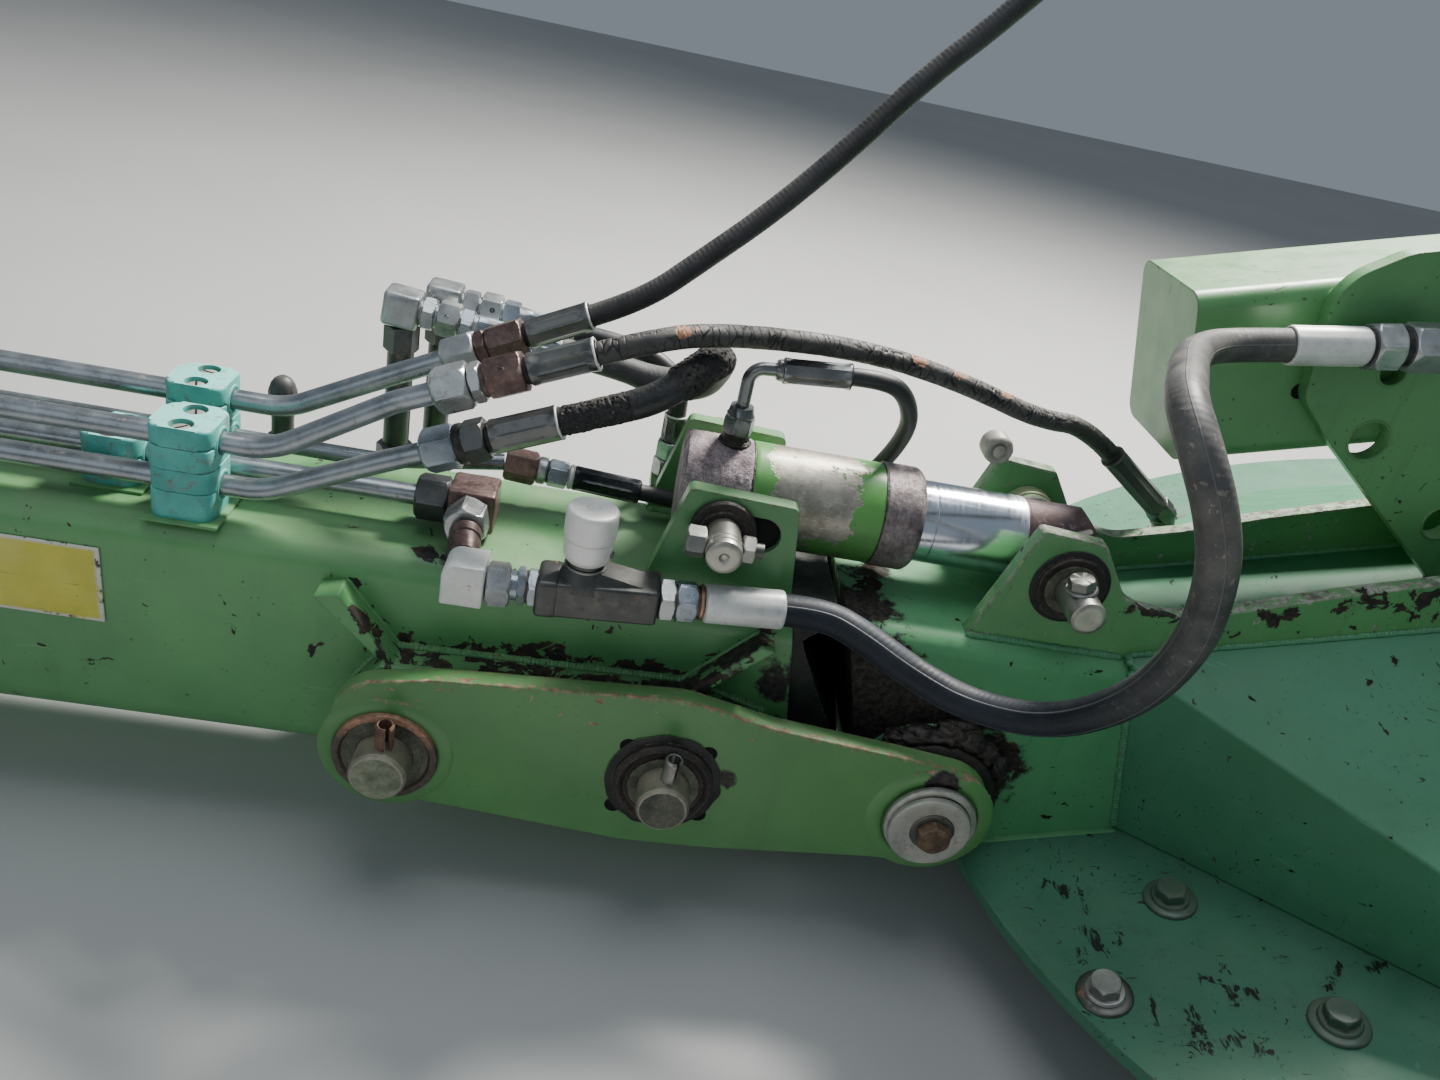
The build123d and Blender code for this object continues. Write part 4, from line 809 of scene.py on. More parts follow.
    def bead(s, pts, r, m=0, seed=0, pitch=2.6, closed=False):
        """Weld bead along points of the row frame, r in mm: rippled and uneven."""
        pts = [Vector(p) for p in pts]
        if closed:
            pts.append(pts[0].copy())
        line, acc = [], 0.0
        for a, b in zip(pts, pts[1:]):
            n = max(1, int((b - a).length / 0.0009))
            line += [(a.lerp(b, i / n), (b - a).normalized()) for i in range(n)]
        line.append((pts[-1], (pts[-1] - pts[-2]).normalized()))
        seg, v, f = 9, [], []
        for k, (c, d) in enumerate(line):
            if k:
                acc += (c - line[k - 1][0]).length * 1000
            _, e1, e2 = basis(d)
            end = min(1.0, 0.25 + min(k, len(line) - 1 - k) * 0.25) if not closed else 1.0
            ph = (acc / pitch + 0.4 * noise.noise(Vector((acc * 0.11, seed, 0)))) * 2 * math.pi
            rr = r * end * (1 + 0.10 * math.sin(ph) + 0.22 * noise.noise(Vector((acc * 0.16, seed, 7))))
            for i in range(seg):
                th = 2 * math.pi * i / seg
                v.append(c + (e1 * math.cos(th) + e2 * math.sin(th)) * rr / 1000)
        for k in range(len(line) - 1):
            for i in range(seg):
                j = (i + 1) % seg
                f.append((k * seg + i, k * seg + j, (k + 1) * seg + j, (k + 1) * seg + i))
        f.append(tuple(range(seg))[::-1])
        f.append(tuple((len(line) - 1) * seg + i for i in range(seg)))
        s.add(v, f, m)

    def blob(s, c, size, m=0, seed=0, rough=0.35, freq=1.8, sub=4, axes=None):
        """Lump with a torn surface, size in mm along the three axes."""
        ax = axes or (X3, Y3, Z3)
        bm = bmesh.new()
        bmesh.ops.create_icosphere(bm, subdivisions=sub, radius=1.0)
        for q in bm.verts:
            n = noise.fractal(q.co * freq + Vector((seed, seed * 2, 1)), 0.9, 2.1, 5)
            q.co *= 1 + rough * n
        bm.verts.index_update()
        v = [Vector(c) + (ax[0] * q.co.x * size[0] + ax[1] * q.co.y * size[1] + ax[2] * q.co.z * size[2]) / 1000 for q in bm.verts]
        f = [tuple(q.index for q in p.verts) for p in bm.faces]
        bm.free()
        s.add(v, f, m)

    def make(s, name, mats, body, stands=(), angle=32, slot=None, ridden=True):
        me = bpy.data.meshes.new(name)
        me.from_pydata(s.v, [], s.f)
        me.update()
        me.polygons.foreach_set("material_index", s.m)
        me.polygons.foreach_set("use_smooth", [True] * len(s.f))
        for q in mats if isinstance(mats, (list, tuple)) else [mats]:
            me.materials.append(mat[q])
        bm = bmesh.new()
        bm.from_mesh(me)
        bmesh.ops.recalc_face_normals(bm, faces=bm.faces[:])
        bm.to_mesh(me)
        bm.free()
        me.set_sharp_from_angle(angle=math.radians(angle))
        ob = bpy.data.objects.new(name, me)
        bpy.context.scene.collection.objects.link(ob)
        if ridden:
            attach(ob, body)
        if stands:
            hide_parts(*stands)
        return ob


def softened(node, key, width=1.0, segs=2, body=None, angle=28, name=None):
    """A copy of a node's mesh with its sheet edges rounded, which stands for the node."""
    src = NODES[node]
    bm = bmesh.new()
    bm.from_mesh(src.data)
    bmesh.ops.remove_doubles(bm, verts=bm.verts[:], dist=2e-6)
    bmesh.ops.dissolve_limit(bm, angle_limit=math.radians(0.6), verts=bm.verts[:], edges=bm.edges[:])
    sharp = [e for e in bm.edges if len(e.link_faces) == 2 and e.calc_face_angle(0) > math.radians(angle)]
    bmesh.ops.bevel(bm, geom=sharp, offset=width / 1000, segments=segs, profile=0.5, affect="EDGES", clamp_overlap=True)
    me = bpy.data.meshes.new(name or node + "_skin")
    bm.to_mesh(me)
    bm.free()
    for p in me.polygons:
        p.use_smooth = True
    me.materials.clear()
    me.materials.append(mat[key])
    me.set_sharp_from_angle(angle=math.radians(38))
    ob = bpy.data.objects.new(me.name, me)
    bpy.context.scene.collection.objects.link(ob)
    even = ob.modifiers.new("flat_faces", "WEIGHTED_NORMAL")
    even.mode = "FACE_AREA"
    even.weight = 90
    even.keep_sharp = True
    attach(ob, body or src["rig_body"])
    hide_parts(node)
    return ob


def coat(node, key):
    """Give a node that keeps its own mesh a better material."""
    o = NODES[node]
    for i, sl in enumerate(o.material_slots):
        sl.material = mat[key]
    if not o.material_slots:
        o.data.materials.append(mat[key])


# ------------------------------------------------------------------ hoses
def route_line(name, pts, res=48):
    """The hose's own line: a NURBS spline with the route's points as its control points."""
    cu = bpy.data.curves.new(name + "_route", "CURVE")
    cu.dimensions = "3D"
    sp = cu.splines.new("NURBS")
    sp.points.add(len(pts) - 1)
    for q, p in zip(sp.points, pts):
        q.co = (*p, 1)
    sp.order_u = 3
    sp.use_endpoint_u = True
    sp.resolution_u = res
    ob = bpy.data.objects.new(name + "_route", cu)
    bpy.context.scene.collection.objects.link(ob)
    bpy.context.view_layer.update()
    me = bpy.data.meshes.new_from_object(ob.evaluated_get(bpy.context.evaluated_depsgraph_get()))
    line = [v.co.copy() for v in me.vertices]
    bpy.data.meshes.remove(me)
    bpy.data.objects.remove(ob)
    bpy.data.curves.remove(cu)
    clean = [line[0]]
    for p in line[1:]:
        if (p - clean[-1]).length > 2e-5:
            clean.append(p)
    return clean


def hose(name, node, pts, r, key, seg=40, res=48, fn=None, body="boom", mats=None, which=None):
    """Mesh tube round the hose's line; fn(mm along, angle, point) gives a factor on its radius."""
    line = route_line(name, pts, res)
    n = len(line)
    tan = [(line[min(i + 1, n - 1)] - line[max(i - 1, 0)]).normalized() for i in range(n)]
    _, e1, _ = basis(tan[0])
    s, v, uv = 0.0, [], []
    al = []
    for i in range(n):
        if i:
            s += (line[i] - line[i - 1]).length
            e1 = (e1 - tan[i] * e1.dot(tan[i])).normalized()
        e2 = tan[i].cross(e1)
        al.append(s)
        for k in range(seg):
            th = 2 * math.pi * k / seg
            d = e1 * math.cos(th) + e2 * math.sin(th)
            rr = r * (fn(s * 1000, th, line[i] + d * r) if fn else 1.0)
            v.append(line[i] + d * rr)
    f = []
    for i in range(n - 1):
        for k in range(seg):
            j = (k + 1) % seg
            f.append((i * seg + k, i * seg + j, (i + 1) * seg + j, (i + 1) * seg + k))
    body_faces = len(f)
    f.append(tuple(range(seg))[::-1])
    f.append(tuple((n - 1) * seg + k for k in range(seg)))
    me = bpy.data.meshes.new(name)
    me.from_pydata([tuple(p) for p in v], [], f)
    lay = me.uv_layers.new(name="UVMap")
    data = np.zeros((len(me.loops), 2), np.float32)
    q = 0
    for i in range(n - 1):
        for k in range(seg):
            a, b = 2 * math.pi * r * k / seg, 2 * math.pi * r * (k + 1) / seg
            data[q] = (al[i], a)
            data[q + 1] = (al[i], b)
            data[q + 2] = (al[i + 1], b)
            data[q + 3] = (al[i + 1], a)
            q += 4
    lay.data.foreach_set("uv", data.ravel())
    me.update()
    me.polygons.foreach_set("use_smooth", [True] * len(f))
    for k in mats or [key]:
        me.materials.append(mat[k])
    if which:
        idx = [which(al[i] * 1000) for i in range(n - 1) for _ in range(seg)] + [which(0), which(al[-1] * 1000)]
        me.polygons.foreach_set("material_index", idx)
    me.set_sharp_from_angle(angle=math.radians(75))
    ob = bpy.data.objects.new(name, me)
    bpy.context.scene.collection.objects.link(ob)
    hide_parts(node)
    print(name, "line %.3f m" % al[-1], "points", n)
    return ob, line, al[-1]


def route(*pts):
    return [P(*p) for p in pts]


UPPER = route((-98.2, 134, 274.2), (-66.3, 134, 290.8), (-32, 146, 321), (8, 160, 357), (51, 174, 404), (92, 188, 455), (132, 198, 496), (172, 200, 546), (215, 203, 594), (260, 204, 640))
LONG = route((-88.8, 64, 273.8), (-61.5, 64, 286.3), (-28, 78, 293), (15, 102, 291), (68, 128, 286), (122, 146, 278), (179, 160, 264), (240, 172, 245), (280.1, 182, 243.5), (314, 190, 220))
LOOP = route((-105.3, 64, 225.1), (-72.4, 64, 239.7), (-49, 66, 250), (-30, 74, 264), (-13, 102, 271), (-6, 142, 255), (-13, 171, 225), (-44, 181, 218), (-76.2, 180, 225.5), (-118, 180, 229.7))
BACK = route((-111, 208, 235.5), (-81.07, 208, 233.48), (-53, 206, 229), (-32, 203, 217), (-26, 201, 204), (-26, 201, 188))
MAIN = route((57, 30, 133), (84.7, 32.2, 133.6), (110, 19, 130), (145, 0, 118.5), (182, -16, 111), (224, -46, 127), (251, -74, 172), (256, -94, 226), (244, -104, 275), (228, -106, 308), (212, -94, 336), (211, -62, 351), (232, -18, 350), (252, 24, 347), (276, 64, 345), (307.57, 90, 345.8), (347, 90, 352.5))
PORT = route((80.0, 116, 270.6), (105.9, 116, 272.9), (126, 128, 258), (139, 148, 228), (128, 168, 182), (90, 160, 142), (38, 152, 135), (-5.15, 151.35, 138.83), (-45, 150, 142))


def lump(p, f=60.0, seed=0.0, octaves=4):
    return noise.fractal(p * f + Vector((seed, seed, seed)), 1.0, 2.0, octaves)


def wrap_fn(s, th, p):
    # wound cover: shallow turns along the hose, a little uneven
    ph = s / 3.4 + th / (2 * math.pi)
    k = ph - math.floor(ph)
    return 1.0 + 0.020 * (1 - abs(2 * k - 1) ** 3) + 0.012 * lump(p, 90) - 0.006


def long_fn(s, th, p):
    # old cover with cracks across it, wider where it bends
    cell = noise.voronoi(Vector((s * 0.055, th * 1.15, 2.0)))[0]
    gap = cell[1] - cell[0]
    bend = 0.45 + 0.55 * min(1.0, max(0.0, (s - 120) / 120.0))
    crack = max(0.0, 1 - gap / 0.085) * bend * (0.55 + 0.6 * noise.noise(p * 22))
    return 1.0 + 0.020 * lump(p, 70, 3) - 0.13 * max(0.0, crack)


def loop_kind(s):
    """How porous the loop's cover is along it: open foam by the union, smooth, then the thick sleeve up to the bend, and the smooth hose behind."""
    if s < 3:
        return 0.0, 1.0
    if s < 46:
        return 0.8, 1.05
    if s < 76:
        return 0.12, 1.07
    if s < 134:
        k = min(1.0, (s - 76) / 5.0)
        return 0.12 + 0.88 * k, 1.07 + 0.24 * k
    if s < 137:
        k = (s - 134) / 3.0
        return 1.0 - 0.95 * k, 1.31 - 0.07 * k
    if s < 225:
        return 0.05, 1.24
    k = min(1.0, (s - 225) / 30.0)
    return 0.05, 1.24 - 0.20 * k


def loop_fn(s, th, p):
    rough, size = loop_kind(s)
    pit = max(0.0, 1 - noise.voronoi(p * 430)[0][0] / 0.42)
    pit2 = max(0.0, 1 - noise.voronoi(p * 250 + Vector((5, 1, 2)))[0][0] / 0.30)
    return size * (1 + 0.030 * lump(p, 55, 1) * (0.4 + rough) - rough * (0.21 * pit + 0.22 * pit2) + rough * 0.07 * noise.noise(p * 400))


def main_fn(s, th, p):
    # smooth cover with two fine mould lines
    out = 1.0 + 0.004 * lump(p, 40, 2, 2)
    for t0 in (1.12, 1.47):
        d = (th - t0 + math.pi) % (2 * math.pi) - math.pi
        out += 0.012 * math.exp(-(d * 11.0 / 0.45) ** 2)
    return out


def plain_fn(s, th, p):
    return 1.0 + 0.010 * lump(p, 60, 4)


hoses = {}
for name, node, pts, r, key, seg, res, fn, length, far, stiff in (
        ("upper_hose", "hose_upper", UPPER, 0.0074, "hose_wrap", 44, 90, wrap_fn, 0.521, "fitting", "stiff"),
        ("long_hose", "hose_long", LONG, 0.0074, "hose_old", 56, 64, long_fn, 0.440, "object", "stiff"),
        ("loop_hose", "hose_loop", LOOP, 0.0092, "hose_foam", 100, 76, loop_fn, 0.308, "object", "stiff"),
        ("back_hose", "hose_back", BACK, 0.0074, "hose_port", 36, 32, plain_fn, 0.112, "object", "stiff"),
        ("main_hose", "hose_main", MAIN, 0.0110, "hose", 90, 26, main_fn, 0.681, "object", "stiff"),
        ("port_hose_tube", "port_hose", PORT, 0.0063, "hose_port", 36, 34, plain_fn, 0.329, "object", "stiff")):
    kw = {}
    if name == "loop_hose":
        kw = dict(mats=["hose_foam", "hose_smooth", "hose_dusty"], which=lambda s: 0 if (s < 47 or 76 < s < 135) else (1 if s < 76 else 2))
    ob, line, total = hose(name, node, pts, r, key, seg=seg, res=res, fn=fn, **kw)
    hoses[name] = (ob, line, total, length, r, far, stiff)


# ------------------------------------------------------------------ unions, nuts and ferrules on the boom
def step(a, u, s):
    return tuple(p + c * s for p, c in zip(a, u))


def unit(a, b):
    d = [q - p for p, q in zip(a, b)]
    n = math.sqrt(sum(c * c for c in d))
    return tuple(c / n for c in d)


# end x, y, z of each pipe, rise in degrees, stations of nut, hexagon and ferrule, their radii
UNIONS = {
    "pipe_1": ((-186.0, 134.0, 228.5), 27.5, (-5, 18, 27, 52, 54, 99), (15.0, 13.6, 9.8)),
    "pipe_2": ((-178.0, 64.0, 233.2), 24.5, (-6, 17, 28, 52, 54, 98), (15.5, 14.2, 10.2)),
    "pipe_3": ((-182.0, 64.0, 190.9), 24.0, (-6, 16, 21, 36, 38, 84), (15.0, 14.6, 11.2)),
}
BACK_LINES = {  # first point, last point, stations of nuts, hexagon and ferrule, ferrule radius
    "line_a": ((-231.0, 180.0, 241.0), (-118.0, 180.0, 229.7), (14, 23, 25, 40, 41, 50, 52), 9.2),
    "line_b": ((-207.5, 208.0, 242.0), (-111.0, 208.0, 235.5), (14, 25, 27, 42, 43, 55, 57), 8.6),
}
PH_END, PH = (-45.0, 150.0, 142.0), unit((-45.0, 150.0, 142.0), (-145.7, 146.6, 150.0))

nuts, hexes, sleeves, ferr = Piece(), Piece(), Piece(), Piece()
for i, (key, (end, rise, st, (rn, rh, rf))) in enumerate(UNIONS.items()):
    u = Vector((math.cos(math.radians(rise)), 0, math.sin(math.radians(rise))))
    a = P(*end)
    n0, n1, h0, h1, f0, f1 = st
    nuts.hexa(a, u, n0, n1, rn, m=1 if i == 2 else 0, turn=0.25 + i * 0.3, cham=1.5)
    nuts.lathe(a, u, [(n0 - 2.2, 0), (n0 - 2.2, 8.6), (n0 - 1.2, 10.6), (n0 + 0.4, rn * 0.80), (n0 + 0.4, 0)], m=1 if i == 2 else 0)
    if i == 0:      # thin rusty hexagon between nut and big hexagon
        hexes.hexa(a, u, n1 + 0.3, h0 - 1.0, rh * 0.93, m=0, turn=0.1)
        sleeves.lathe(a, u, [(n1 - 1, 0), (n1 - 1, rh - 4), (h0 + 1, rh - 4), (h0 + 1, 0)], m=1)
    elif i == 1:    # thin zinc hexagon, then a waist
        nuts.hexa(a, u, n1 + 0.4, n1 + 8.2, rh * 0.94, m=0, turn=0.55)
        sleeves.lathe(a, u, [(n1 + 7, 0), (n1 + 7, rh - 3.0), (n1 + 9.6, rh - 3.6), (h0 + 1, rh - 3.4), (h0 + 1, 0)], m=1)
    else:           # black ring
        sleeves.lathe(a, u, [(n1 - 1, 0), (n1 - 1, rh - 2), (n1 + 1, rh - 1.0), (h0 - 1.2, rh - 1.0), (h0 + 1, rh - 2), (h0 + 1, 0)], m=2)
    hexes.hexa(a, u, h0, h1, rh, m=(0, 0, 2)[i], turn=(0.35, 0.15, 0.5)[i])
    sleeves.lathe(a, u, [(h1 - 1, 0), (h1 - 1, rf - 1.5), (f0 + 2, rf - 1.5), (f0 + 2, 0)], m=2)
    ferr.crimp(a, u, f0, f1, rf * 1.03, m=0, m_rim=1, facets=9, turn=i * 0.3, grooves=(3.2,), dents=0.03)
# small round hole in the second row's big hexagon, as a sunk dimple with a rim, black as painted shade of the hole
u2 = Vector((math.cos(math.radians(24.5)), 0, math.sin(math.radians(24.5))))
for key, (a0, b0, st, rf) in BACK_LINES.items():
    uu = Vector(unit(a0, b0))
    a = P(*a0)
    b_len = math.dist(a0, b0)
    t0 = 0.1 if key == "line_a" else 0.4
    nuts.hexa(a, uu, st[0], st[1], 12.6, m=0, turn=t0)
    nuts.hexa(a, uu, st[2], st[3], 13.6, m=0, turn=t0 + 0.3)
    nuts.hexa(a, uu, st[4], st[5], 12.0, m=1, turn=t0 + 0.1)
    sleeves.lathe(a, uu, [(12, 0), (12, 8.8), (st[6] + 2, 8.8), (st[6] + 2, 0)], m=0)
    ferr.crimp(a, uu, st[6], b_len, rf, m=2, m_rim=1, facets=9, grooves=(3.0,))
# small hose's end on the boom: black ferrule, zinc collar and nut, rusty hexagon
a, u = P(*PH_END), Vector(PH)
ferr.crimp(a, u, 0.0, 50.0, 9.2, m=3, facets=8, turn=0.3)
ferr.lathe(a, u, [(50.0, 0), (50.0, 8.6), (51.2, 9.3), (53.2, 9.3), (54.0, 8.2), (54.0, 0)], seg=48, m=1)
nuts.hexa(a, u, 54.5, 69.0, 10.6, m=1, turn=0.2, cham=1.3)
sleeves.lathe(a, u, [(68, 0), (68, 8.4), (78, 8.4), (78, 0)], m=2)
nuts.lathe(a, u, [(70.0, 0), (70.0, 9.2), (71.0, 10.0), (75.5, 10.2), (77.0, 9.4), (77.0, 0)], seg=48, m=0)
hexes.hexa(a, u, 77.2, 100.6, 12.5, m=1, turn=0.45, cham=1.5)
# back hose's foot
fa = P(-26, 201, 136)
nuts.hexa(fa, Z3, 0, 15, 11.5, m=0)
nuts.hexa(fa, Z3, 15.6, 30, 11.0, m=1, turn=0.3)
ferr.crimp(fa, Z3, 30, 52, 9.0, m=0, m_rim=1, facets=8, collar=3)
# ferrule of the main hose
V0, V1 = (-141.7, 14.0, 129.0), (57.0, 30.0, 133.0)
vu = Vector(unit(V0, V1))
va = P(*V0)
vlen = math.dist(V0, V1)
ferr.lathe(va, vu, [(146, 0), (146, 10.6), (147.2, 12.6), (148.4, 13.2)] + [(148.4 + (vlen - 151) * k / 14, 13.2) for k in range(1, 15)]
           + [(vlen - 1.2, 13.0), (vlen - 0.3, 12.5), (vlen, 11.6), (vlen - 1.5, 11.2), (vlen - 1.5, 0)], seg=64, m=4,
           fn=lambda q, th, r: r * (1 - 0.008 * (math.cos(th * 10) > 0.35)) if r == 13.2 else r)
nuts.make("union_nuts_turned", ["nut", "nut_blue"], "boom", ["union_nuts"], slot="zinc")
hexes.make("union_hexes_turned", ["hex_rust", "hex_orange", "nut_dark"], "boom", ["union_hexes"], slot="rusty_steel")
sleeves.make("union_sleeves_turned", ["nut", "hex_rust", "seal_and_recess_shade"], "boom", ["union_sleeves"], slot="zinc")
ferr.make("hose_ferrules_crimped", ["ferrule", "ferrule_pale", "nut_blue", "ferrule_black", "ferrule_pale"], "boom", ["hose_ferrules"], slot="zinc", angle=24)

holes = Piece()
for (end, rise, st, rr), (s, th) in zip(list(UNIONS.values())[1:2], ((40.0, 0.0),)):
    u = Vector((math.cos(math.radians(rise)), 0, math.sin(math.radians(rise))))
    d = Vector((-u.z, 0, u.x)) * 0.55 + Vector((0, -1, 0)) * 0.83
    c = P(*end) + u * (s / 1000)
    holes.lathe(c + d.normalized() * 0.0122, d.normalized(), [(0, 0), (0.35, 1.6), (0.6, 1.9), (0.3, 2.3), (0.0, 2.4)], seg=20)
for a0, b0, s in ((BACK_LINES["line_a"][0], BACK_LINES["line_a"][1], 32.0), (BACK_LINES["line_b"][0], BACK_LINES["line_b"][1], 36.0)):
    uu = Vector(unit(a0, b0))
    c = P(*a0) + uu * (s / 1000)
    d = (Vector((0.0, -1, 0.45))).normalized()
    holes.lathe(c + d * 0.0117, d, [(0, 0), (0.3, 1.2), (0.5, 1.5), (0.2, 1.9), (0.0, 2.0)], seg=16)
# the dimples' black is painted shade of the holes
holes.make("fitting_holes", ["seal_and_recess_shade"], "boom")

# rear elbow stacks: plated blocks on hexagon stems
rear = Piece()
for name, (a0, b0, st, rf) in BACK_LINES.items():
    uu = Vector(unit(a0, b0))
    up = (Z3 - uu * Z3.dot(uu)).normalized()
    c = P(*a0)
    rear.block(c, (25.4, 24.4, 25.4), 3.4, m=0, axes=(uu, Y3, up), segs=3, rough=0.25, seed=3)
    foot = 112 if name == "line_a" else 92
    rear.hexa(P(a0[0], a0[1], a0[2] - 32), Z3, 0, 18.8, 12.6, m=3, turn=0.3)
    rear.lathe(P(a0[0], a0[1], foot), Z3, [(0, 0), (0, 9.4)] + [(a0[2] - 31 - foot, 9.4), (a0[2] - 31 - foot, 0)], m=1)
    if name == "line_b":
        rear.block(P(a0[0] + 2, (192 + a0[1] + 14) / 2 + 0.2, 96), (22, a0[1] + 14 - 192, 16), 2.5, m=2)
    rear.hexa(P(a0[0], a0[1], foot + 9), Z3, 0, 14, 14.0, m=1, turn=0.1)
rear.make("rear_elbow_stacks", ["nut", "nut_dark", "weld", "nut_dark"], "boom", ["rear_elbows"], slot="zinc")

# pipes' left ends
left = Piece()
for i, (y, z) in enumerate(((134, 170), (64, 172), (64, 141.5), (93, 141), (134, 141.5))):
    left.hexa(P(-705, y, z), X3, 0.0, 15.0, 13 if i < 4 else 11, m=0, turn=0.2 * i, cham=1.4)
left.make("pipe_end_nuts", ["nut"], "boom", ["pipe_left_nuts"], slot="zinc")

# T stack: dark hexagon, rusty block, plated hexagon, sleeve, elbow block
tee = Piece()
tee.hexa(P(-196, 93, 141), X3, 0, 22, 16.5, m=0, turn=0.35, cham=1.3)
tee.hexa(P(-158, 78, 141), -Y3, 0, 22, 15.0, m=1, turn=0.2, cham=1.3)
tee.make("tee_nuts", ["nut_dark", "nut"], "boom", ["tee_hexes"], slot="dark_steel")
tb = Piece()
tb.block(P(-158, 94, 141), (32, 32, 30), 2.6, m=0, segs=3, rough=0.3, seed=8)
tb.make("tee_block_rusty", ["hex_rust"], "boom", ["tee_block"], slot="rusty_steel")
ts = Piece()
su = (P(-153.3, 29, 136.2) - P(-156.7, 53.8, 139.7))
ts.lathe(P(-156.7, 55.6, 139.9), su.normalized(), [(0, 0), (0, 9.4), (1.5, 10.6), (9.0, 10.6), (10.0, 9.6), (11.5, 9.6), (12.5, 10.4), (24.0, 10.4), (26.6, 9.8), (26.6, 0)], m=0)
ts.make("tee_sleeve_dark", ["hex_rust"], "boom", ["tee_sleeve"], slot="dark_steel")


def elbow_block():
    """Elbow of plated steel: square in section, its upper left edge round, turned from the sleeve to the valve."""
    b = Piece()
    bm = bmesh.new()
    # section in x,z, pulled along y
    sec = []
    x0, x1, z0, z1, rr = -162.0, -135.6, 117.0, 146.0, 9.0
    for k in range(9):
        th = math.pi / 2 + (math.pi / 2) * k / 8
        sec.append((x0 + rr + rr * math.cos(th), z1 - rr + rr * math.sin(th)))
    sec += [(x0, z0), (x1, z0), (x1, z1)]
    lo = [bm.verts.new((x, 1.0, z)) for x, z in sec]
    hi = [bm.verts.new((x, 27.2, z)) for x, z in sec]
    n = len(sec)
    bm.faces.new(lo)
    bm.faces.new(hi[::-1])
    for k in range(n):
        j = (k + 1) % n
        bm.faces.new((lo[j], lo[k], hi[k], hi[j]))
    bmesh.ops.recalc_face_normals(bm, faces=bm.faces[:])
    sharp = [e for e in bm.edges if e.calc_face_angle(0) > math.radians(40)]
    bmesh.ops.bevel(bm, geom=sharp, offset=1.5, segments=3, profile=0.5, affect="EDGES", clamp_overlap=True)
    bm.verts.index_update()
    b.add([P(*q.co) for q in bm.verts], [tuple(w.index for w in f.verts) for f in bm.faces])
    bm.free()
    return b


elbow_block().make("elbow_block_plated", ["elbow"], "boom", ["elbow_block"], slot="zinc")

vn, vun = Piece(), Piece()
vn.hexa(va, vu, 6.4, 21.4, 14.8, m=0, turn=0.25, cham=1.4)
vn.hexa(va, vu, 116, 126, 15.0, m=0, turn=0.0, cham=0.9)
vn.make("valve_nuts_turned", ["nut"], "boom", ["valve_nuts"], slot="zinc")
vun.lathe(va, vu, [(20, 0), (20, 9.5), (25.5, 9.5), (25.5, 0)], m=0)
vun.hexa(va, vu, 25.4, 30.8, 12.6, m=0, turn=0.5, cham=0.8)
vun.lathe(va, vu, [(30, 0), (30, 10.4), (33, 10.4), (33, 0)], m=2)
vun.hexa(va, vu, 32.0, 38.4, 12.8, m=0, turn=0.1, cham=0.8)
vun.lathe(va, vu, [(125, 0), (125, 10.2), (128, 10.2), (128, 0)], m=1)
vun.hexa(va, vu, 127, 141, 14.0, m=0, turn=0.15, cham=1.3)
vun.lathe(va, vu, [(140, 0), (140, 10.4), (143.4, 10.8), (146.5, 9.8), (146.5, 0)], m=1)
vun.make("valve_unions_turned", ["nut_blue", "hex_rust", "seal_and_recess_shade"], "boom", ["valve_unions"], slot="zinc")

kz = Vector(V0) + vu * 66
vb = Piece()
vz = (Z3 - vu * Z3.dot(vu)).normalized()
vb.block(va + vu * 0.077, (78, 30, 25), 2.4, m=0, axes=(vu, Y3, vz), segs=3, rough=0.15, seed=2)
vb.block(va + vu * 0.0455, (15.5, 31.2, 26.4), 3.4, m=0, axes=(vu, Y3, vz), segs=3)
vb.lathe(P(*kz), Z3, [(6, 0), (6, 17.0), (11.5, 16.2), (15, 14.6), (18, 13.4), (20.5, 12.4), (21.2, 11.0), (22.2, 11.0), (22.8, 12.4), (25.5, 12.6), (25.5, 0)], m=0, seg=56)
vb.lathe(P(*kz), Z3, [(20.2, 0), (20.2, 13.2), (21.0, 13.4), (21.6, 12.6), (21.6, 0)], m=1, seg=56)
# fairing that runs from the neck down to the body's right
fv = [P(*(Vector(kz) + vu * x + Vector((0, y, 0)) + Vector((0, 0, z)))) for x, y, z in
      ((4, -14.6, 12.2), (4, 14.6, 12.2), (39, -10, 12.6), (39, 10, 12.6), (6, -9.5, 21), (6, 9.5, 21))]
vb.add(fv, [(0, 2, 4), (1, 5, 3), (2, 3, 5, 4), (0, 4, 5, 1), (0, 1, 3, 2)], 0)
vb.make("valve_body_cast", ["valve", "bolt"], "boom", ["valve_body"], slot="dark_steel")
kb = Piece()
prof = [(24.6, 0), (24.6, 12.4), (25.6, 13.4), (28.0, 14.9), (29.0, 15.2)]
prof += [(29.0 + 11.5 * i / 6, 15.4) for i in range(1, 7)] + [(41.0, 14.9), (41.8, 14.9), (42.3, 16.3)]
prof += [(42.3 + 17.0 * i / 8, 16.4) for i in range(1, 9)] + [(60.1, 16.1), (60.9, 15.5), (61.3, 14.6), (61.4, 6.0), (61.2, 4.6), (60.5, 4.2), (60.3, 3.2), (60.9, 2.8), (61.0, 0)]
kb.lathe(P(*kz), Z3, prof, seg=180, m=0, fn=lambda q, th, r: r * (1 + 0.007 * math.cos(th * 60)) if r == 16.4 and q < 56.5 else r)
kb.lathe(P(*kz) + Vector((0.0142, -0.0035, 0.0325)), Vector((1, -0.25, 0)), [(0, 0), (0, 2.4), (1.8, 2.4), (2.2, 1.9), (2.2, 1.2), (1.2, 1.0), (1.2, 0)], seg=24, m=1)
kb.make("valve_knob_turned", ["knob", "bolt_dark"], "boom", ["valve_knob"], slot="valve_alloy", angle=40)

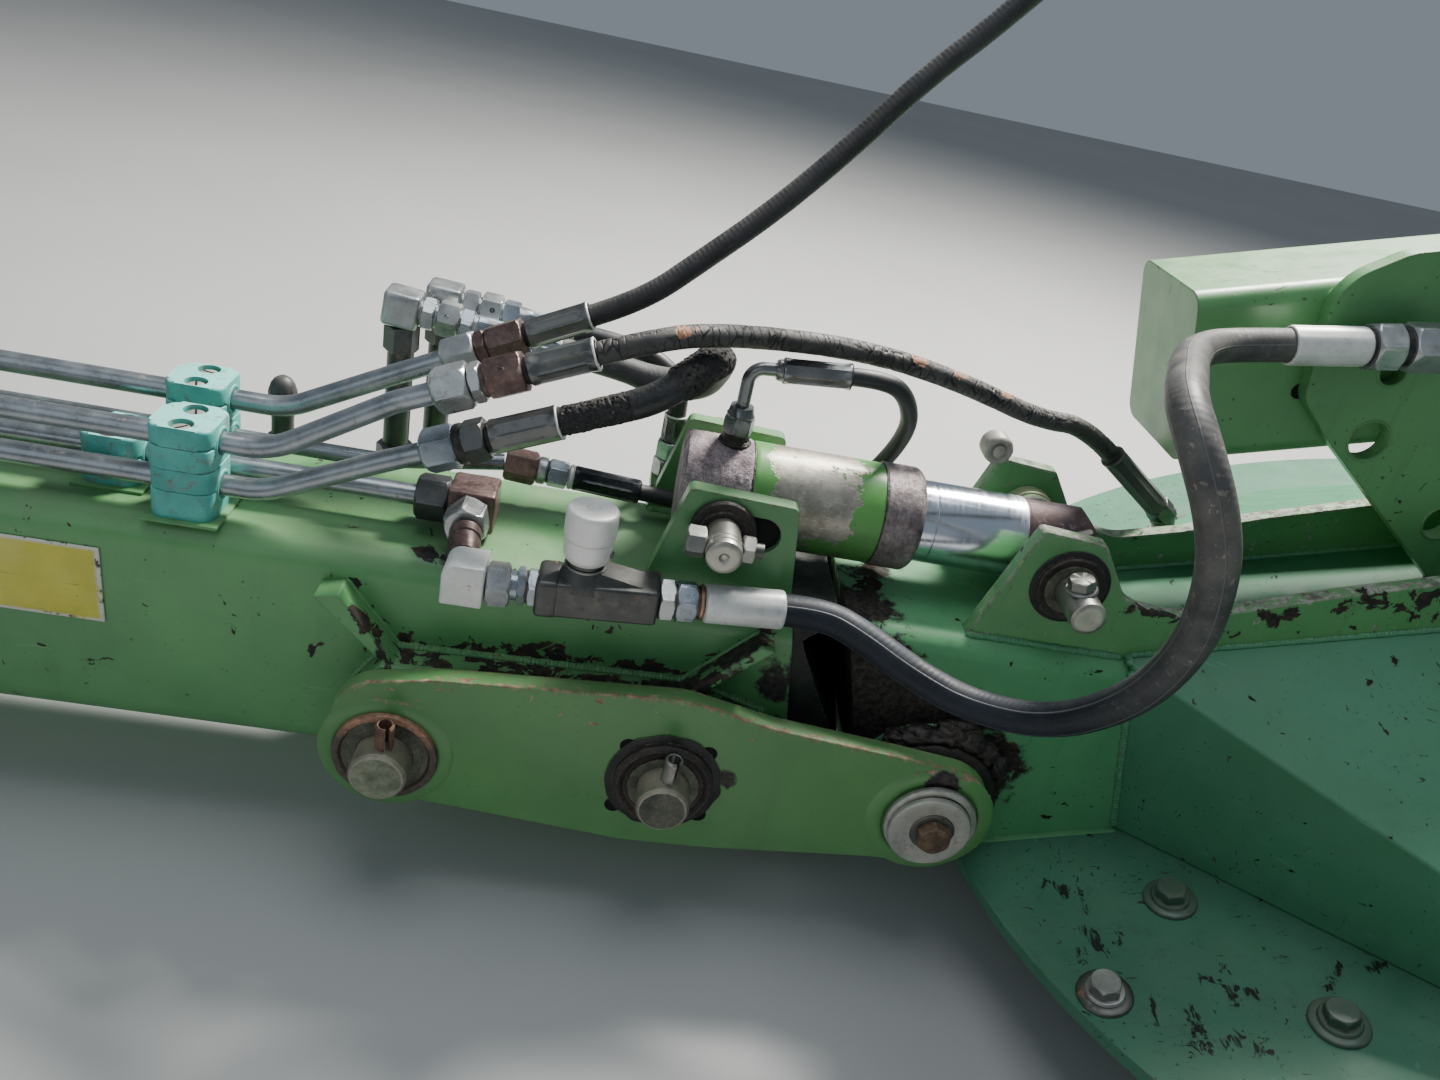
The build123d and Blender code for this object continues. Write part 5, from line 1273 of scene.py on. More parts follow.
# clamps: stacked halves with a parting groove, two sunk screws on top
CLAMPS = (  # x0, x1, y0, y1, pipe y, pipe heights, top
    (-354, -314, 44, 84, 64.0, (141.5, 172.0), 186),
    (-372, -332, 114, 154, 134.0, (141.5, 170.0), 184),
    (-410, -372, 74, 112, 93.0, (141.0,), 157),
)
cl = Piece()
for k, (x0, x1, y0, y1, py, zs, top) in enumerate(CLAMPS):
    cuts = [120.0]
    for i, z in enumerate(zs):
        cuts.append(z)
        cuts.append((z + zs[i + 1]) / 2 if i + 1 < len(zs) else top)
    xm = (x0 + x1) / 2
    screws = [(xm, y0 + 8.5), (xm, y1 - 8.5)]
    for i, (z0, z1) in enumerate(zip(cuts, cuts[1:])):
        last = i == len(cuts) - 2
        g0, g1 = (0.35 if i else 0.0), (0.35 if not last else 0.0)
        sx = (0.0, 0.5, 0.1, 0.6)[i % 4]
        cl.slab(x0 + sx, x1 - 0.6 + sx, y0 + 0.4 * (i % 2), y1, z0 + g0, z1 - g1, 8.5, 2.6 if last else 1.2, m=0, holes=screws if last else ())
    for z in zs:
        for sx in (x0, x1):
            cl.lathe(P(sx + (0.9 if sx == x0 else -0.9), py, z), X3 if sx == x1 else -X3, [(0, 7.9), (1.0, 8.1), (1.6, 8.8), (1.5, 9.8), (0.8, 10.6), (0, 10.8)], seg=40, m=0)
    for j, (x, y) in enumerate(screws):
        c = P(x, y, top - 8.2)
        mm = 1 if k == 2 else 3
        # near-black disc at the bottom of each screw's sink and a near-black slot: painted shade
        cl.lathe(c, Z3, [(0.2, 7.4), (0.3, 0)], seg=30, m=2)
        cl.lathe(c, Z3, [(0.2, 6.3), (4.6, 6.3), (5.6, 5.7), (6.0, 4.6), (6.0, 0)], seg=36, m=mm)
        cl.block(c + Vector((0, 0, 0.0060)), (8.8, 1.5, 0.7), 0.2, m=2, axes=(Vector((math.cos(0.9 + k + j), math.sin(0.9 + k + j), 0)), Vector((-math.sin(0.9 + k + j), math.cos(0.9 + k + j), 0)), Z3), segs=1)
cl.make("pipe_clamps_moulded", ["clamp", "hex_orange", "recess_shade", "washer"], "boom", ["pipe_clamps"], slot="clamp_plastic")
cw = Piece()
for (x0, x1, y0, y1) in ((-358, -310, 40.5, 88), (-376, -328, 110, 158), (-414, -368, 70, 116)):
    cw.block(P((x0 + x1) / 2, (y0 + y1) / 2, 120.9), (x1 - x0, y1 - y0, 2.6), 0.9, m=0)
cw.make("clamp_base_plates", ["weld"], "boom")

# yellow plate, bare
yp = Piece()
yp.block(P(-511.5, 39.2, 66.5), (257, 1.6, 57), 0.7, m=0, segs=3)
yp.make("plate_blank_yellow", ["yellow"], "boom", ["sticker_plate"], slot="yellow_plate")

# breather
br = Piece()
br.lathe(P(-311, 172, 120), Z3, [(0, 0), (0, 10.6), (3, 10.6), (4, 8.0), (22, 7.8), (27, 8.2), (31, 9.6), (32.5, 10.0), (38, 10.0), (39, 9.0), (41, 9.0), (42, 9.8), (46, 9.8), (47.5, 9.4), (51, 8.4), (54.5, 6.0), (56.6, 2.8), (57.0, 0)], seg=72, m=0,
         fn=lambda q, th, r: r * (1 + (0.035 * math.cos(th * 14) if 32 <= q <= 46.5 and r > 9.7 else 0)))
br.hexa(P(-311, 172, 120), Z3, 4.0, 11.0, 10.8, m=1)
br.make("breather_cap_ribbed", ["plastic", "nut_dark"], "boom", ["breather_cap"], slot="black_plastic")

# ------------------------------------------------------------------ pins
def split_pin(piece, c, u, length, r=6.2, m=0, gap_to=(1, -0.2, 0), wall=1.9):
    """Rolled spring pin: a C-shaped tube with its slit towards gap_to."""
    u, e1, e2 = basis(u, gap_to)
    v, f, n = [], [], 40
    a0, a1 = math.radians(16), math.radians(344)
    prof = [(0.0, r, r - wall), (length - 1.4, r, r - wall), (length - 0.4, r - 0.9, r - wall), (length, r - 1.2, r - wall + 0.3)]
    rows = []
    for st, ro, ri in prof:
        row = []
        for i in range(n + 1):
            th = a0 + (a1 - a0) * i / n
            d = e1 * math.cos(th) + e2 * math.sin(th)
            row.append((len(v), len(v) + 1))
            v += [Vector(c) + u * (st / 1000) + d * (ro / 1000), Vector(c) + u * (st / 1000) + d * (ri / 1000)]
        rows.append(row)
    for p, q in zip(rows, rows[1:]):
        for i in range(n):
            f.append((p[i][0], p[i + 1][0], q[i + 1][0], q[i][0]))
            f.append((p[i + 1][1], p[i][1], q[i][1], q[i + 1][1]))
        for i in (0, n):
            f.append((p[i][0], p[i][1], q[i][1], q[i][0]))
    for row in (rows[0], rows[-1]):
        for i in range(n):
            f.append((row[i][0], row[i][1], row[i + 1][1], row[i + 1][0]))
    piece.add(v, f, m)


lp = Piece()
for (x, z), r, y0 in (((-188.0, -7.0), 19.0, -27.0), ((0.0, 0.0), 18.0, -30.0)):
    L = 232 - 2 * y0
    lp.lathe(P(x, y0, z), Y3, [(0.6, 0), (0.6, r * 0.45), (0.0, r - 3.4), (0.5, r - 1.6), (2.4, r - 0.1), (4.0, r), (L - 4.0, r), (L - 2.4, r - 0.1), (L - 0.5, r - 1.6), (L, r - 3.4), (L - 0.6, r * 0.45), (L - 0.6, 0)],
             seg=64, m=0, fn=lambda q, th, rr: rr * (1 + 0.006 * noise.noise(Vector((math.cos(th) * 2, math.sin(th) * 2, q * 0.1)))))
    for yy, dd in ((y0, Y3), (232 - y0, -Y3)):
        lp.lathe(P(x, yy, z), dd, [(-0.30, 0), (-0.30, r * 0.70), (0.05, r * 0.86), (0.8, r * 0.86), (0.8, 0)], seg=48, m=4 if x < -100 else 2)
    sp_m = 1 if x < -100 else 3
    for back in (0, 1):
        yy = y0 + 12.5 if not back else 232 - y0 - 12.5
        split_pin(lp, P(x + 1.5, yy, z + r * 0.55), (Vector((0.02, -0.10 if not back else 0.10, 1))).normalized(), r * 0.45 + 19.5, m=sp_m, gap_to=(0.6, -1, 0))
        split_pin(lp, P(x + 1.5, yy, z - r * 0.55), (Vector((-0.02, 0.05, -1))).normalized(), r * 0.45 + 6.0, m=sp_m, gap_to=(0.6, -1, 0))
lp.make("link_pins_turned", ["pin", "ring_rust", "pin_end", "bolt", "pin_end_l"], "boom", ["link_pins"], slot="bare_steel")

wr = Piece()
for (x, z), r, ro, t, mm in (((-188.0, -7.0), 19.0, 35.0, 6.0, 0), ((0.0, 0.0), 18.0, 36.0, 8.0, 2)):
    for y, d in ((0.0, -Y3), (232.0, Y3)):
        c = P(x, y, z)
        if mm == 0:     # thick rusty washer with a raised lip
            wr.lathe(c, d, [(-0.2, r + 0.4), (-0.2, ro), (t - 1.4, ro), (t - 0.3, ro - 0.6), (t, ro - 1.8), (t - 0.2, ro - 4.6), (t - 1.9, ro - 6.2), (t - 2.2, ro - 6.4)], seg=80, m=0,
                     fn=lambda q, th, rr: rr * (1 + 0.012 * noise.noise(Vector((math.cos(th) * 3, math.sin(th) * 3, q * 0.2)))))
            wr.lathe(c, d, [(-0.2, r + 0.4), (-0.2, ro - 3), (t - 3.4, ro - 3), (t - 2.1, ro - 6.0), (t - 2.3, r + 6), (t - 1.6, r + 5.4), (t - 1.2, r + 2.0), (t - 1.0, r + 0.4)], seg=72, m=1)
        else:           # black seal ring in a dished washer
            wr.lathe(c, d, [(-0.2, r + 0.4), (-0.2, ro + 4), (0.9, ro + 4.6), (1.6, ro + 3.2), (1.6, r + 0.4)], seg=80, m=2,
                     fn=lambda q, th, rr: rr * (1 + (0.05 * noise.noise(Vector((math.cos(th) * 4, math.sin(th) * 4, 3))) if rr > ro else 0)))
            wr.lathe(c, d, [(1.4, r + 0.4), (1.4, ro - 1), (t - 2, ro - 1), (t - 0.6, ro - 2.4), (t, ro - 4.5), (t - 0.6, ro - 6.5), (t - 2.6, ro - 8.5), (t - 3.0, r + 0.4)], seg=80, m=3)
            wr.lathe(c, d, [(t - 3.1, r + 0.3), (t - 2.7, r + 6), (t - 1.6, r + 6.4), (t - 1.0, r + 3.0), (t - 0.8, r + 0.3)], seg=64, m=1)
wr.make("pin_washers_worn", ["ring_left", "pin_end", "seal_and_recess_shade", "boss"], "boom", ["pin_washers"], slot="rusty_steel")
# four round notches beside the seal, sunk, near-black as painted shade
nt = Piece()
for dx, dz in ((-28.0, 26.5), (26.5, 29.0), (-31.0, -27.0), (29.0, -26.0)):
    nt.lathe(P(dx, 0.0, dz), -Y3, [(0.15, 0), (0.2, 4.9), (0.45, 5.3), (0.3, 5.9), (-0.2, 6.1)], seg=28, m=0)
nt.make("seal_notches", ["recess_shade"], "boom")

hp = Piece()
hp.lathe(P(192, -2, -3), Y3, [(0, 0), (0, 20), (236, 20), (236, 0)], seg=48, m=0)
hp.make("hinge_pin_turned", ["pin"], "boom", ["hinge_pin"], slot="bare_steel")
hw = Piece()
for y, d in ((-2.0, -Y3), (234.0, Y3)):
    c = P(192, y, -3)
    hw.lathe(c, d, [(0, 0), (0, 31.5), (0.8, 33.0), (3.6, 33.0), (4.6, 32.2), (5.0, 30.8), (5.0, 0)], seg=96, m=0)
    hw.lathe(c, d, [(5.0, 0), (5.0, 28.4), (5.6, 28.4), (5.6, 0)], seg=64, m=3)
    hw.lathe(c + Vector((-0.0012, 0, -0.0014)), d, [(5.6, 0), (5.6, 28.4), (6.4, 29.6), (9.2, 29.6), (10.3, 28.8), (10.5, 27.4), (10.1, 24.0), (10.1, 0)], seg=96, m=0)
hw.make("hinge_washers_turned", ["washer", "bolt", "hex_orange", "seal_and_recess_shade"], "boom", ["hinge_washers"], slot="bare_steel")
hb = Piece()
for y, d in ((-12.0, -Y3), (244.0, Y3)):
    c = P(192, y, -3)
    hb.lathe(c, d, [(-0.4, 0), (-0.4, 15.6), (0.5, 15.9), (1.3, 15.2), (1.6, 13.8), (1.6, 0)], seg=56, m=0)
    hb.hexa(c, d, 1.4, 10.2, 12.6, m=1, turn=0.12, cham=1.2)
    hb.lathe(c, d, [(10.1, 0), (10.1, 8.4), (10.45, 8.2), (10.45, 0)], seg=36, m=1)
hb.make("hinge_bolts", ["bolt_dark", "hinge_bolt"], "boom")

# cylinder's pin on the boom
bp = Piece()
for y, d in ((14.0, Y3), (218.0, -Y3)):
    c = P(9, y, 173.5)
    bp.lathe(c, d, [(1.8, 0), (1.8, 1.6), (0.3, 3.6), (0.0, 7.5), (0.2, 9.6), (1.4, 11.5), (2.8, 12.0), (5.6, 12.0), (5.9, 11.4), (6.7, 11.4), (7.0, 12.0), (11.0, 12.0), (11.3, 11.5), (12.0, 11.5), (12.3, 12.0), (102, 12.0)],
             seg=56, m=0)
bp.make("base_pin_turned", ["pin_bright"], "boom", ["base_pin"], slot="bare_steel")
bb = Piece()
for y in (31.0, 201.0):
    c = P(9, y, 173.5)
    bb.lathe(c, X3, [(-24, 0), (-24, 5.0), (26, 5.0), (26, 0)], seg=24, m=1)
    bb.hexa(c, -X3, 12.0, 24.5, 10.4, m=0, turn=0.3, cham=1.2)
    bb.hexa(c, X3, 12.2, 20.4, 9.6, m=0, turn=0.1, cham=1.2)
    bb.lathe(c, X3, [(20.2, 0), (20.2, 4.6), (22.2, 4.4), (22.6, 3.6), (22.6, 0)], seg=24, m=1)
bb.make("base_pin_cross_bolts", ["bolt", "bolt_dark"], "boom")
rg = Piece()
for y, d in ((52.0, -Y3), (180.0, Y3)):
    c = P(9, y, 173.5)
    rg.lathe(c, d, [(-0.2, 12.6), (-0.2, 21.5), (1.0, 22.4), (3.2, 22.4), (4.6, 21.4), (5.2, 19.5), (5.2, 16.0), (6.0, 15.4), (6.0, 12.6)], seg=72, m=0)
rg.make("base_pin_rings_black", ["boss"], "boom", ["base_pin_rings"], slot="bare_steel")
kh = Piece()
for y, d in ((56.9, -Y3), (175.1, Y3)):
    # near-black floor and slot of the keyhole beside the ring: painted shade of the recess
    kh.lathe(P(35, y, 173.5), d, [(-0.2, 12.9), (0.25, 12.8), (0.35, 9.0), (0.2, 4.0), (0.25, 0)], seg=48, m=0)
    kh.block(P(26, y + (-0.05 if y < 100 else 0.05), 173.5), (18, 0.6, 25.4), 0.2, m=0, segs=1)
kh.make("keyhole_floors", ["recess_shade"], "boom")

# cylinder's pin on the head
rp = Piece()
for y, d in ((10.0, Y3), (222.0, -Y3)):
    c = H(105.2, y, 152.9)
    rp.lathe(c, d, [(0.3, 0), (0.3, 5.0), (0.0, 8.0), (0.3, 10.2), (1.4, 11.6), (2.8, 12.0), (107, 12.0)], seg=56, m=0)
    rp.lathe(c + d * 0.0225 + HZ * 0.0115 + HX * 0.002, HZ, [(0, 0), (0.6, 2.4), (0.9, 2.9), (0.2, 3.5), (-0.5, 3.7)], seg=24, m=1)
rp.make("rod_pin_turned", ["pin_bright", "seal_and_recess_shade"], "head", ["rod_pin"], slot="bare_steel")
rb = Piece()
for y in (29.0, 203.0):
    c = H(105.2, y, 152.9)
    rb.lathe(c, HZ, [(-17.0, 0), (-16.4, 1.8), (-14.0, 4.0), (-13.0, 4.6), (12.5, 4.8), (12.5, 0)], seg=24, m=1)
    rb.lathe(c, HZ, [(11.4, 0), (11.4, 10.6), (12.6, 10.8), (13.4, 10.0), (13.4, 0)], seg=40, m=0)
    rb.hexa(c, HZ, 13.2, 20.6, 9.2, m=0, turn=0.5)
rb.make("rod_pin_bolts", ["bolt", "bolt"], "head")
rw = Piece()
for y, d in ((52.0, -Y3), (180.0, Y3)):
    c = H(105.2, y, 152.9)
    rw.lathe(c, d, [(-0.2, 12.6), (-0.2, 27.5), (0.8, 28.0), (1.6, 26.5), (1.6, 12.6)], seg=72, m=2)
    rw.lathe(c, d, [(1.2, 12.6), (1.2, 24.0), (3.8, 24.0), (4.8, 23.2), (5.0, 21.4), (4.4, 20.0), (4.4, 12.6)], seg=72, m=0)
    rw.lathe(c, d, [(4.2, 12.4), (4.2, 18.4), (4.9, 18.2), (5.2, 16.8), (5.2, 12.4)], seg=56, m=1)
rw.make("rod_pin_washers_worn", ["boss", "pin_end", "seal_and_recess_shade"], "head", ["rod_pin_washers"], slot="bare_steel")
coat("rod_pin_spacers", "wall")

# ------------------------------------------------------------------ cylinder
def grid_surface(piece, c0, ax, prof, seg, m, bumpfn):
    piece.lathe(c0, ax, prof, seg=seg, m=m, fn=bumpfn)


cb = Piece()
c0 = C(0, 0, 0)
steps_ = [-29.6 + i * 1.1 for i in range(1, 43)]
prof = [(-30.0, 0), (-30.0, 20.0), (-30.0, 33.0), (-29.0, 36.4)] + [(q, 37.3) for q in steps_ if q < 16.6] + [(17.2, 36.6), (17.9, 34.5), (17.9, 0)]


def cast_fn(q, th, r):
    if r < 30:
        return r
    p = Vector((math.cos(th) * 37, math.sin(th) * 37, q))
    return r + 0.55 * noise.noise(p * 0.42) + 0.30 * noise.noise(p * 1.1) - 0.35


def cut_round(q, th, r):
    # the end is rounded about the pin, seen from above; this gives cast_fn's radius and does not round it
    r = cast_fn(q, th, r)
    return r


cb.lathe(c0, CX, prof, seg=150, m=0, fn=cut_round)
cb.make("cylinder_base_cast", ["cast"], "barrel", ["cylinder_base"], slot="rusty_steel", angle=50)
ct = Piece()
prof = [(18.0, 30.0), (18.0, 35.2), (18.6, 36.3)] + [(19 + i * 3.0, 36.5) for i in range(31)] + [(111.6, 36.3), (112.0, 35.4), (112.0, 31.8), (18.0, 30.0)]
ct.lathe(c0, CX, prof, seg=120, m=0, fn=lambda q, th, r: r + (0.10 * noise.noise(Vector((math.cos(th) * 3, math.sin(th) * 3, q * 0.06))) if r > 36 else 0))
ct.make("cylinder_barrel_worn", ["barrel"], "barrel", ["cylinder_barrel"], slot="worn_green")
cg = Piece()
prof = [(112.2, 30.4), (112.2, 36.8), (113.0, 37.6)] + [(113.2 + i * 0.9, 38.0) for i in range(27)] + [(137.8, 37.6), (140.2, 35.6), (141.0, 34.6), (141.0, 31.4), (140.2, 30.6), (112.2, 30.4)]
cg.lathe(c0, CX, prof, seg=140, m=0, fn=lambda q, th, r: r - 0.25 + 0.22 * noise.noise(Vector((math.cos(th) * 14, math.sin(th) * 14, q * 0.9))) if r > 37 else r)
cg.make("cylinder_gland_scored", ["gland"], "barrel", ["cylinder_gland"], slot="rusty_steel")
# dark seam between tube and gland, and between cap and tube
cs = Piece()
cs.lathe(c0, CX, [(111.7, 35.0), (111.7, 37.0), (112.5, 37.0), (112.5, 35.0), (111.7, 35.0)], seg=80)
cs.lathe(c0, CX, [(17.6, 34.0), (17.6, 36.6), (18.3, 36.6), (18.3, 34.0), (17.6, 34.0)], seg=80)
cs.make("cylinder_seams", ["boss"], "barrel")
cr = Piece()
SPAN = math.hypot(250.98 - 9.0, 172.97 - 173.5)
prof = [(74, 0), (74, 28.5), (75.5, 29.8)] + [(76 + i * 4.0, 29.9) for i in range(18)] + [(148.0, 29.9), (150.4, 29.9), (150.9, 29.45), (151.7, 29.45), (152.2, 29.9)] + [(154 + i * 4.0, 29.9) for i in range(16)] + [(SPAN - 23.6, 29.9), (SPAN - 23.1, 29.4), (SPAN - 23.0, 0)]
cr.lathe(c0, CX, prof, seg=128, m=0)
cr.make("cylinder_rod_chromed", ["chrome"], "rod", ["cylinder_rod"], slot="chrome")
coat("rod_eye", "eye")
re_ = Piece()
re_.lathe(c0, CX, [(SPAN - 23.2, 0), (SPAN - 23.2, 29.7), (SPAN - 21.9, 29.9), (SPAN - 21.2, 29.6), (SPAN - 21.2, 0)], seg=96)
re_.make("rod_end_seam", ["eye"], "rod")

pf_ = Piece()
pc = C(3, 0, 0)
pf_.lathe(pc, CZ, [(34, 0), (34, 11.2), (37.4, 11.6), (38.6, 10.6), (39.0, 9.6), (43, 9.4), (43.6, 9.6), (43.6, 0)], seg=44, m=1)
pf_.hexa(pc, CZ, 43.4, 56.0, 11.0, m=0, turn=0.2, cham=1.3)
pf_.lathe(pc, CZ, [(55.6, 0), (55.6, 9.4), (57.2, 9.8), (58.2, 9.0), (63.5, 8.0), (63.5, 0)], seg=44, m=0)
pf_.make("port_union", ["steel_mid", "boss"], "barrel", ["port_fitting"], slot="zinc")
coat("port_elbow", "steel_mid")
PF0, PF1 = Vector((24, 0, 93)), Vector((3, 0, 91.1))
pd = (PF0 - PF1).normalized()
pw = (CX * pd.x + CZ * pd.z).normalized()
pfe = Piece()
pfe.crimp(C(24, 0, 93), pw, 0, 47, 9.0, m=0, m_rim=1, facets=8, grooves=(3, 44), dents=0.03)
pfe.lathe(C(24, 0, 93), pw, [(-4.0, 0), (-4.0, 6.4), (-2.0, 7.4), (0.2, 7.4), (0.2, 0)], seg=40, m=0)
pfe.make("port_ferrule_crimped", ["ferrule_port", "ferrule_black"], "barrel", ["port_ferrule"], slot="zinc", angle=24)

# ------------------------------------------------------------------ far fittings on the head
MF0, MFU = (347.0, 90.0, 352.5), unit((0, 0, 0), (1, 0, 0.17))
mu, ma = Vector(MFU), P(*MF0)
mf = Piece()
mf.lathe(ma, mu, [(0.0, 0), (1.2, 11.2), (0.0, 11.6), (0.5, 12.6), (1.6, 13.0)] + [(1.6 + 46 * k / 14, 13.0) for k in range(1, 15)] + [(49.0, 12.8), (50.0, 12.2), (51.0, 10.8), (52.0, 10.4), (52.0, 0)], seg=80, m=0,
         fn=lambda q, th, r: r * (1 - 0.010 * (math.cos(th * 10) > 0.3)) if r == 13.0 else r)
mf.make("main_ferrule_far", ["ferrule_pale"], "head", ["main_far_ferrule"], slot="zinc", angle=24)
mn = Piece()
mn.lathe(ma, mu, [(50, 0), (50, 12.2), (52.8, 12.2), (52.8, 0)], seg=40, m=1)
mn.hexa(ma, mu, 52.4, 71.0, 17.0, m=0, turn=0.2, cham=1.3)
mn.lathe(ma, mu, [(70, 0), (70, 12.0), (77.6, 12.4), (77.6, 0)], seg=48, m=1)
mn.hexa(ma, mu, 76.8, 101.8, 17.0, m=0, turn=0.5, cham=1.5)
mn.make("main_nuts_far", ["nut", "seal_and_recess_shade"], "head", ["main_far_nut"], slot="zinc")

LONG_END, LONG_LAST = (314.0, 190.0, 220.0), (373.0, 204.0, 179.0)
lu = Vector(unit(LONG_END, LONG_LAST))
ll = math.dist(LONG_END, LONG_LAST)
lf = Piece()
lf.crimp(P(*LONG_LAST), -lu, 0, ll, 9.6, m=0, m_rim=1, facets=9, dents=0.02)
lf.hexa(P(*LONG_LAST), lu, -0.3, 14, 11.0, m=1)
knee = Vector(LONG_LAST) + lu * 14
lf.lathe(P(*knee) + Vector((0, 0, 0.0095)), -Z3, [(0, 0), (0.6, 4.5), (2.2, 7.2), (5.0, 9.0), (9.5, 9.5), (14, 9.2), (18, 9.0), (18, 0)], seg=40, m=1)


def to_head(p):
    dx, dz = p[0] - 192.0, p[2] + 3.0
    return (dx * math.cos(TILT) + dz * math.sin(TILT), p[1], -dx * math.sin(TILT) + dz * math.cos(TILT))


kh_ = to_head(knee)
lf.lathe(H(kh_[0], kh_[1], 99), HZ, [(0, 0), (0, 9.0), (kh_[2] - 99, 9.0), (kh_[2] - 99, 0)], seg=40, m=1)
lf.hexa(H(kh_[0], kh_[1], 87.5), HZ, 0, 13.4, 13.0, m=1, turn=0.2)
lf.make("long_hose_far_fitting", ["hose_dusty", "nut_dark"], "head", ["long_far_fitting"], slot="zinc", angle=24)

UP_END = (260.0, 204.0, 640.0)
uu = Vector(unit((215, 203, 594), UP_END))
uf = Piece()
uf.crimp(P(*UP_END), uu, 0, 46, 9.8, m=0, m_rim=None, facets=9)
uf.hexa(P(*UP_END), uu, 46, 68, 14.0, m=1, turn=0.3, cham=1.4)
upper_fitting = uf.make("upper_hose_fitting", ["ferrule", "nut"], "boom", ["upper_far_fitting"], slot="zinc", angle=24)

# ------------------------------------------------------------------ sheet metal: nodes with their edges rounded
for node, key, w in (("boom_flange", "boom", 1.5), ("link_cheeks", "cheek", 1.2), ("link_plate_front", "link", 1.1), ("link_plate_rear", "link", 1.1),
                     ("boom_ears", "ear", 0.9), ("head_wall_front", "wall", 0.8), ("head_wall_rear", "wall", 0.8), ("carrier_plate", "carrier", 1.2),
                     ("carrier_beam", "carrier", 0.8), ("head_box", "head", 1.2), ("shell_cover", "shell", 2.0), ("base_plate", "plate", 1.0)):
    softened(node, key, w)
coat("boom_tube", "boom")
coat("pipes", "pipe")
coat("head_pipe", "nut_blue")

# ------------------------------------------------------------------ welds, bolts, bosses and grease
wb = Piece()
wb.bead([P(-222, 40, 20), P(-199, 40, 52.4), P(10, 40, 58.6), P(66, 40, 41)], 3.2, seed=1)
wb.bead([P(-222, 192, 20), P(-199, 192, 52.4), P(10, 192, 58.6), P(66, 192, 41)], 3.2, seed=2)
for y0, y1 in ((52, 64), (168, 180)):
    wb.bead([P(-37, y0 - 0.5, 120.8), P(67, y0 - 0.5, 120.8)], 3.0, seed=3 + y0)
    wb.bead([P(67, y1 + 0.5, 120.8), P(-37, y1 + 0.5, 120.8)], 3.0, seed=5 + y0)
for y in (40.0, 192.0):
    for rib in (((-199, 52), (-244, 96)), ((-190, 52), (-228, 100)), ((0, 57), (48, 108)), ((10, 58), (58, 106))):
        wb.bead([P(rib[0][0], y, rib[0][1]), P(rib[1][0], y, rib[1][1])], 1.8, seed=rib[0][0])
wb.make("welds_boom", ["weld"], "boom", slot="green_paint")
# raised weld rings in the link plates, at the left and right pins
wl = Piece()
for (x, z), rr in (((-188.0, -7.0), 37.5), ((192.0, -3.0), 38.5)):
    for y, d in ((0.0, -Y3), (232.0, Y3)):
        wl.lathe(P(x, y, z), d, [(-0.5, rr - 4.5), (1.4, rr - 4.0), (2.3, rr - 2.0), (2.4, rr + 0.5), (1.7, rr + 3.5), (0.6, rr + 6.5), (-0.5, rr + 8.0)], seg=110, m=0,
                 fn=lambda q, th, r: r * (1 + 0.010 * math.sin(th * 46) + 0.014 * noise.noise(Vector((math.cos(th) * 3, math.sin(th) * 3, q)))))
wl.make("weld_rings_link", ["link"], "boom", slot="green_paint")


def box_top(x):
    return 144.0 + (88.0 - 144.0) * (x + 47.0) / 197.0


wh = Piece()
for y, s in ((52.0, -1), (64.0, 1), (168.0, -1), (180.0, 1)):
    pts = [H(35 + 8 * i, y + s * 0.5, box_top(35 + 8 * i) + 0.8) for i in range(15)]
    wh.bead(pts, 2.6, seed=y)
    wh.bead([H(150 + 19.5 * i, y + s * 0.5, 90.7) for i in range(31)], 2.6, seed=y + 1)
for y in (40.0, 192.0):
    wh.bead([H(150.5, y, 86), H(150.5, y + (0.2 if y < 100 else -0.2), 30), H(150.5, y, -60)], 3.4, seed=y + 2)
wh.bead([H(150.6, 42 + 12 * i, 89.5) for i in range(13)], 3.0, seed=9)
for y in (16.5, 215.5):
    ring = [H(52.5 * math.cos(t), 39.0 if y < 100 else 193.0, 52.5 * math.sin(t)) for t in [math.radians(200 + 8 * i) for i in range(0, 44)]]
    wh.bead(ring, 2.8, seed=y)
wh.make("welds_head", ["weld_head"], "head", slot="green_paint")
# lip under the box and the small tab at its right end
lip = Piece()
lip.block(H(82, 38.5, -64), (138, 8, 5), 1.6, m=0, axes=(HX, Y3, HZ), segs=3)
lip.block(H(82, 193.5, -64), (138, 8, 5), 1.6, m=0, axes=(HX, Y3, HZ), segs=3)
lip.block(H(141, 37.6, 52), (16, 5, 10), 1.2, m=0, axes=(HX, Y3, HZ), segs=2)
lip.make("box_lips", ["head"], "head", slot="green_paint")

# hinge bosses under torn black grease
hbz = Piece()
for y0, y1 in ((16.5, 40.0), (192.0, 215.5)):
    prof = [(0, 21.0), (0, 50.5), (1.0, 52.0)] + [(1.0 + (y1 - y0 - 1.0) * i / 10, 52.0) for i in range(1, 11)] + [(y1 - y0, 21.0), (0, 21.0)]
    hbz.lathe(P(192, y0, -3), Y3, prof, seg=120, m=0,
              fn=lambda q, th, r: r + (0.9 * noise.fractal(Vector((math.cos(th) * 4, math.sin(th) * 4, q * 0.12)), 1.0, 2.0, 4) if r > 50 else 0))
hbz.make("hinge_bosses_greasy", ["boss"], "head", ["hinge_bosses"], slot="rusty_steel", angle=60)
gr = Piece()
for k, (x, y, z, sx, sy, sz) in enumerate(((178, 27, 50, 16, 9, 7), (196, 28, 53, 13, 10, 8), (213, 27, 49, 12, 9, 7), (228, 30, 40, 10, 8, 9), (240, 31, 26, 8, 7, 12), (160, 28, 44, 9, 8, 7), (205, 34, 56, 16, 6, 5))):
    gr.blob(P(x, y, z), (sx, sy, sz), m=0, seed=k * 3.1, rough=0.36, freq=1.5, sub=4)
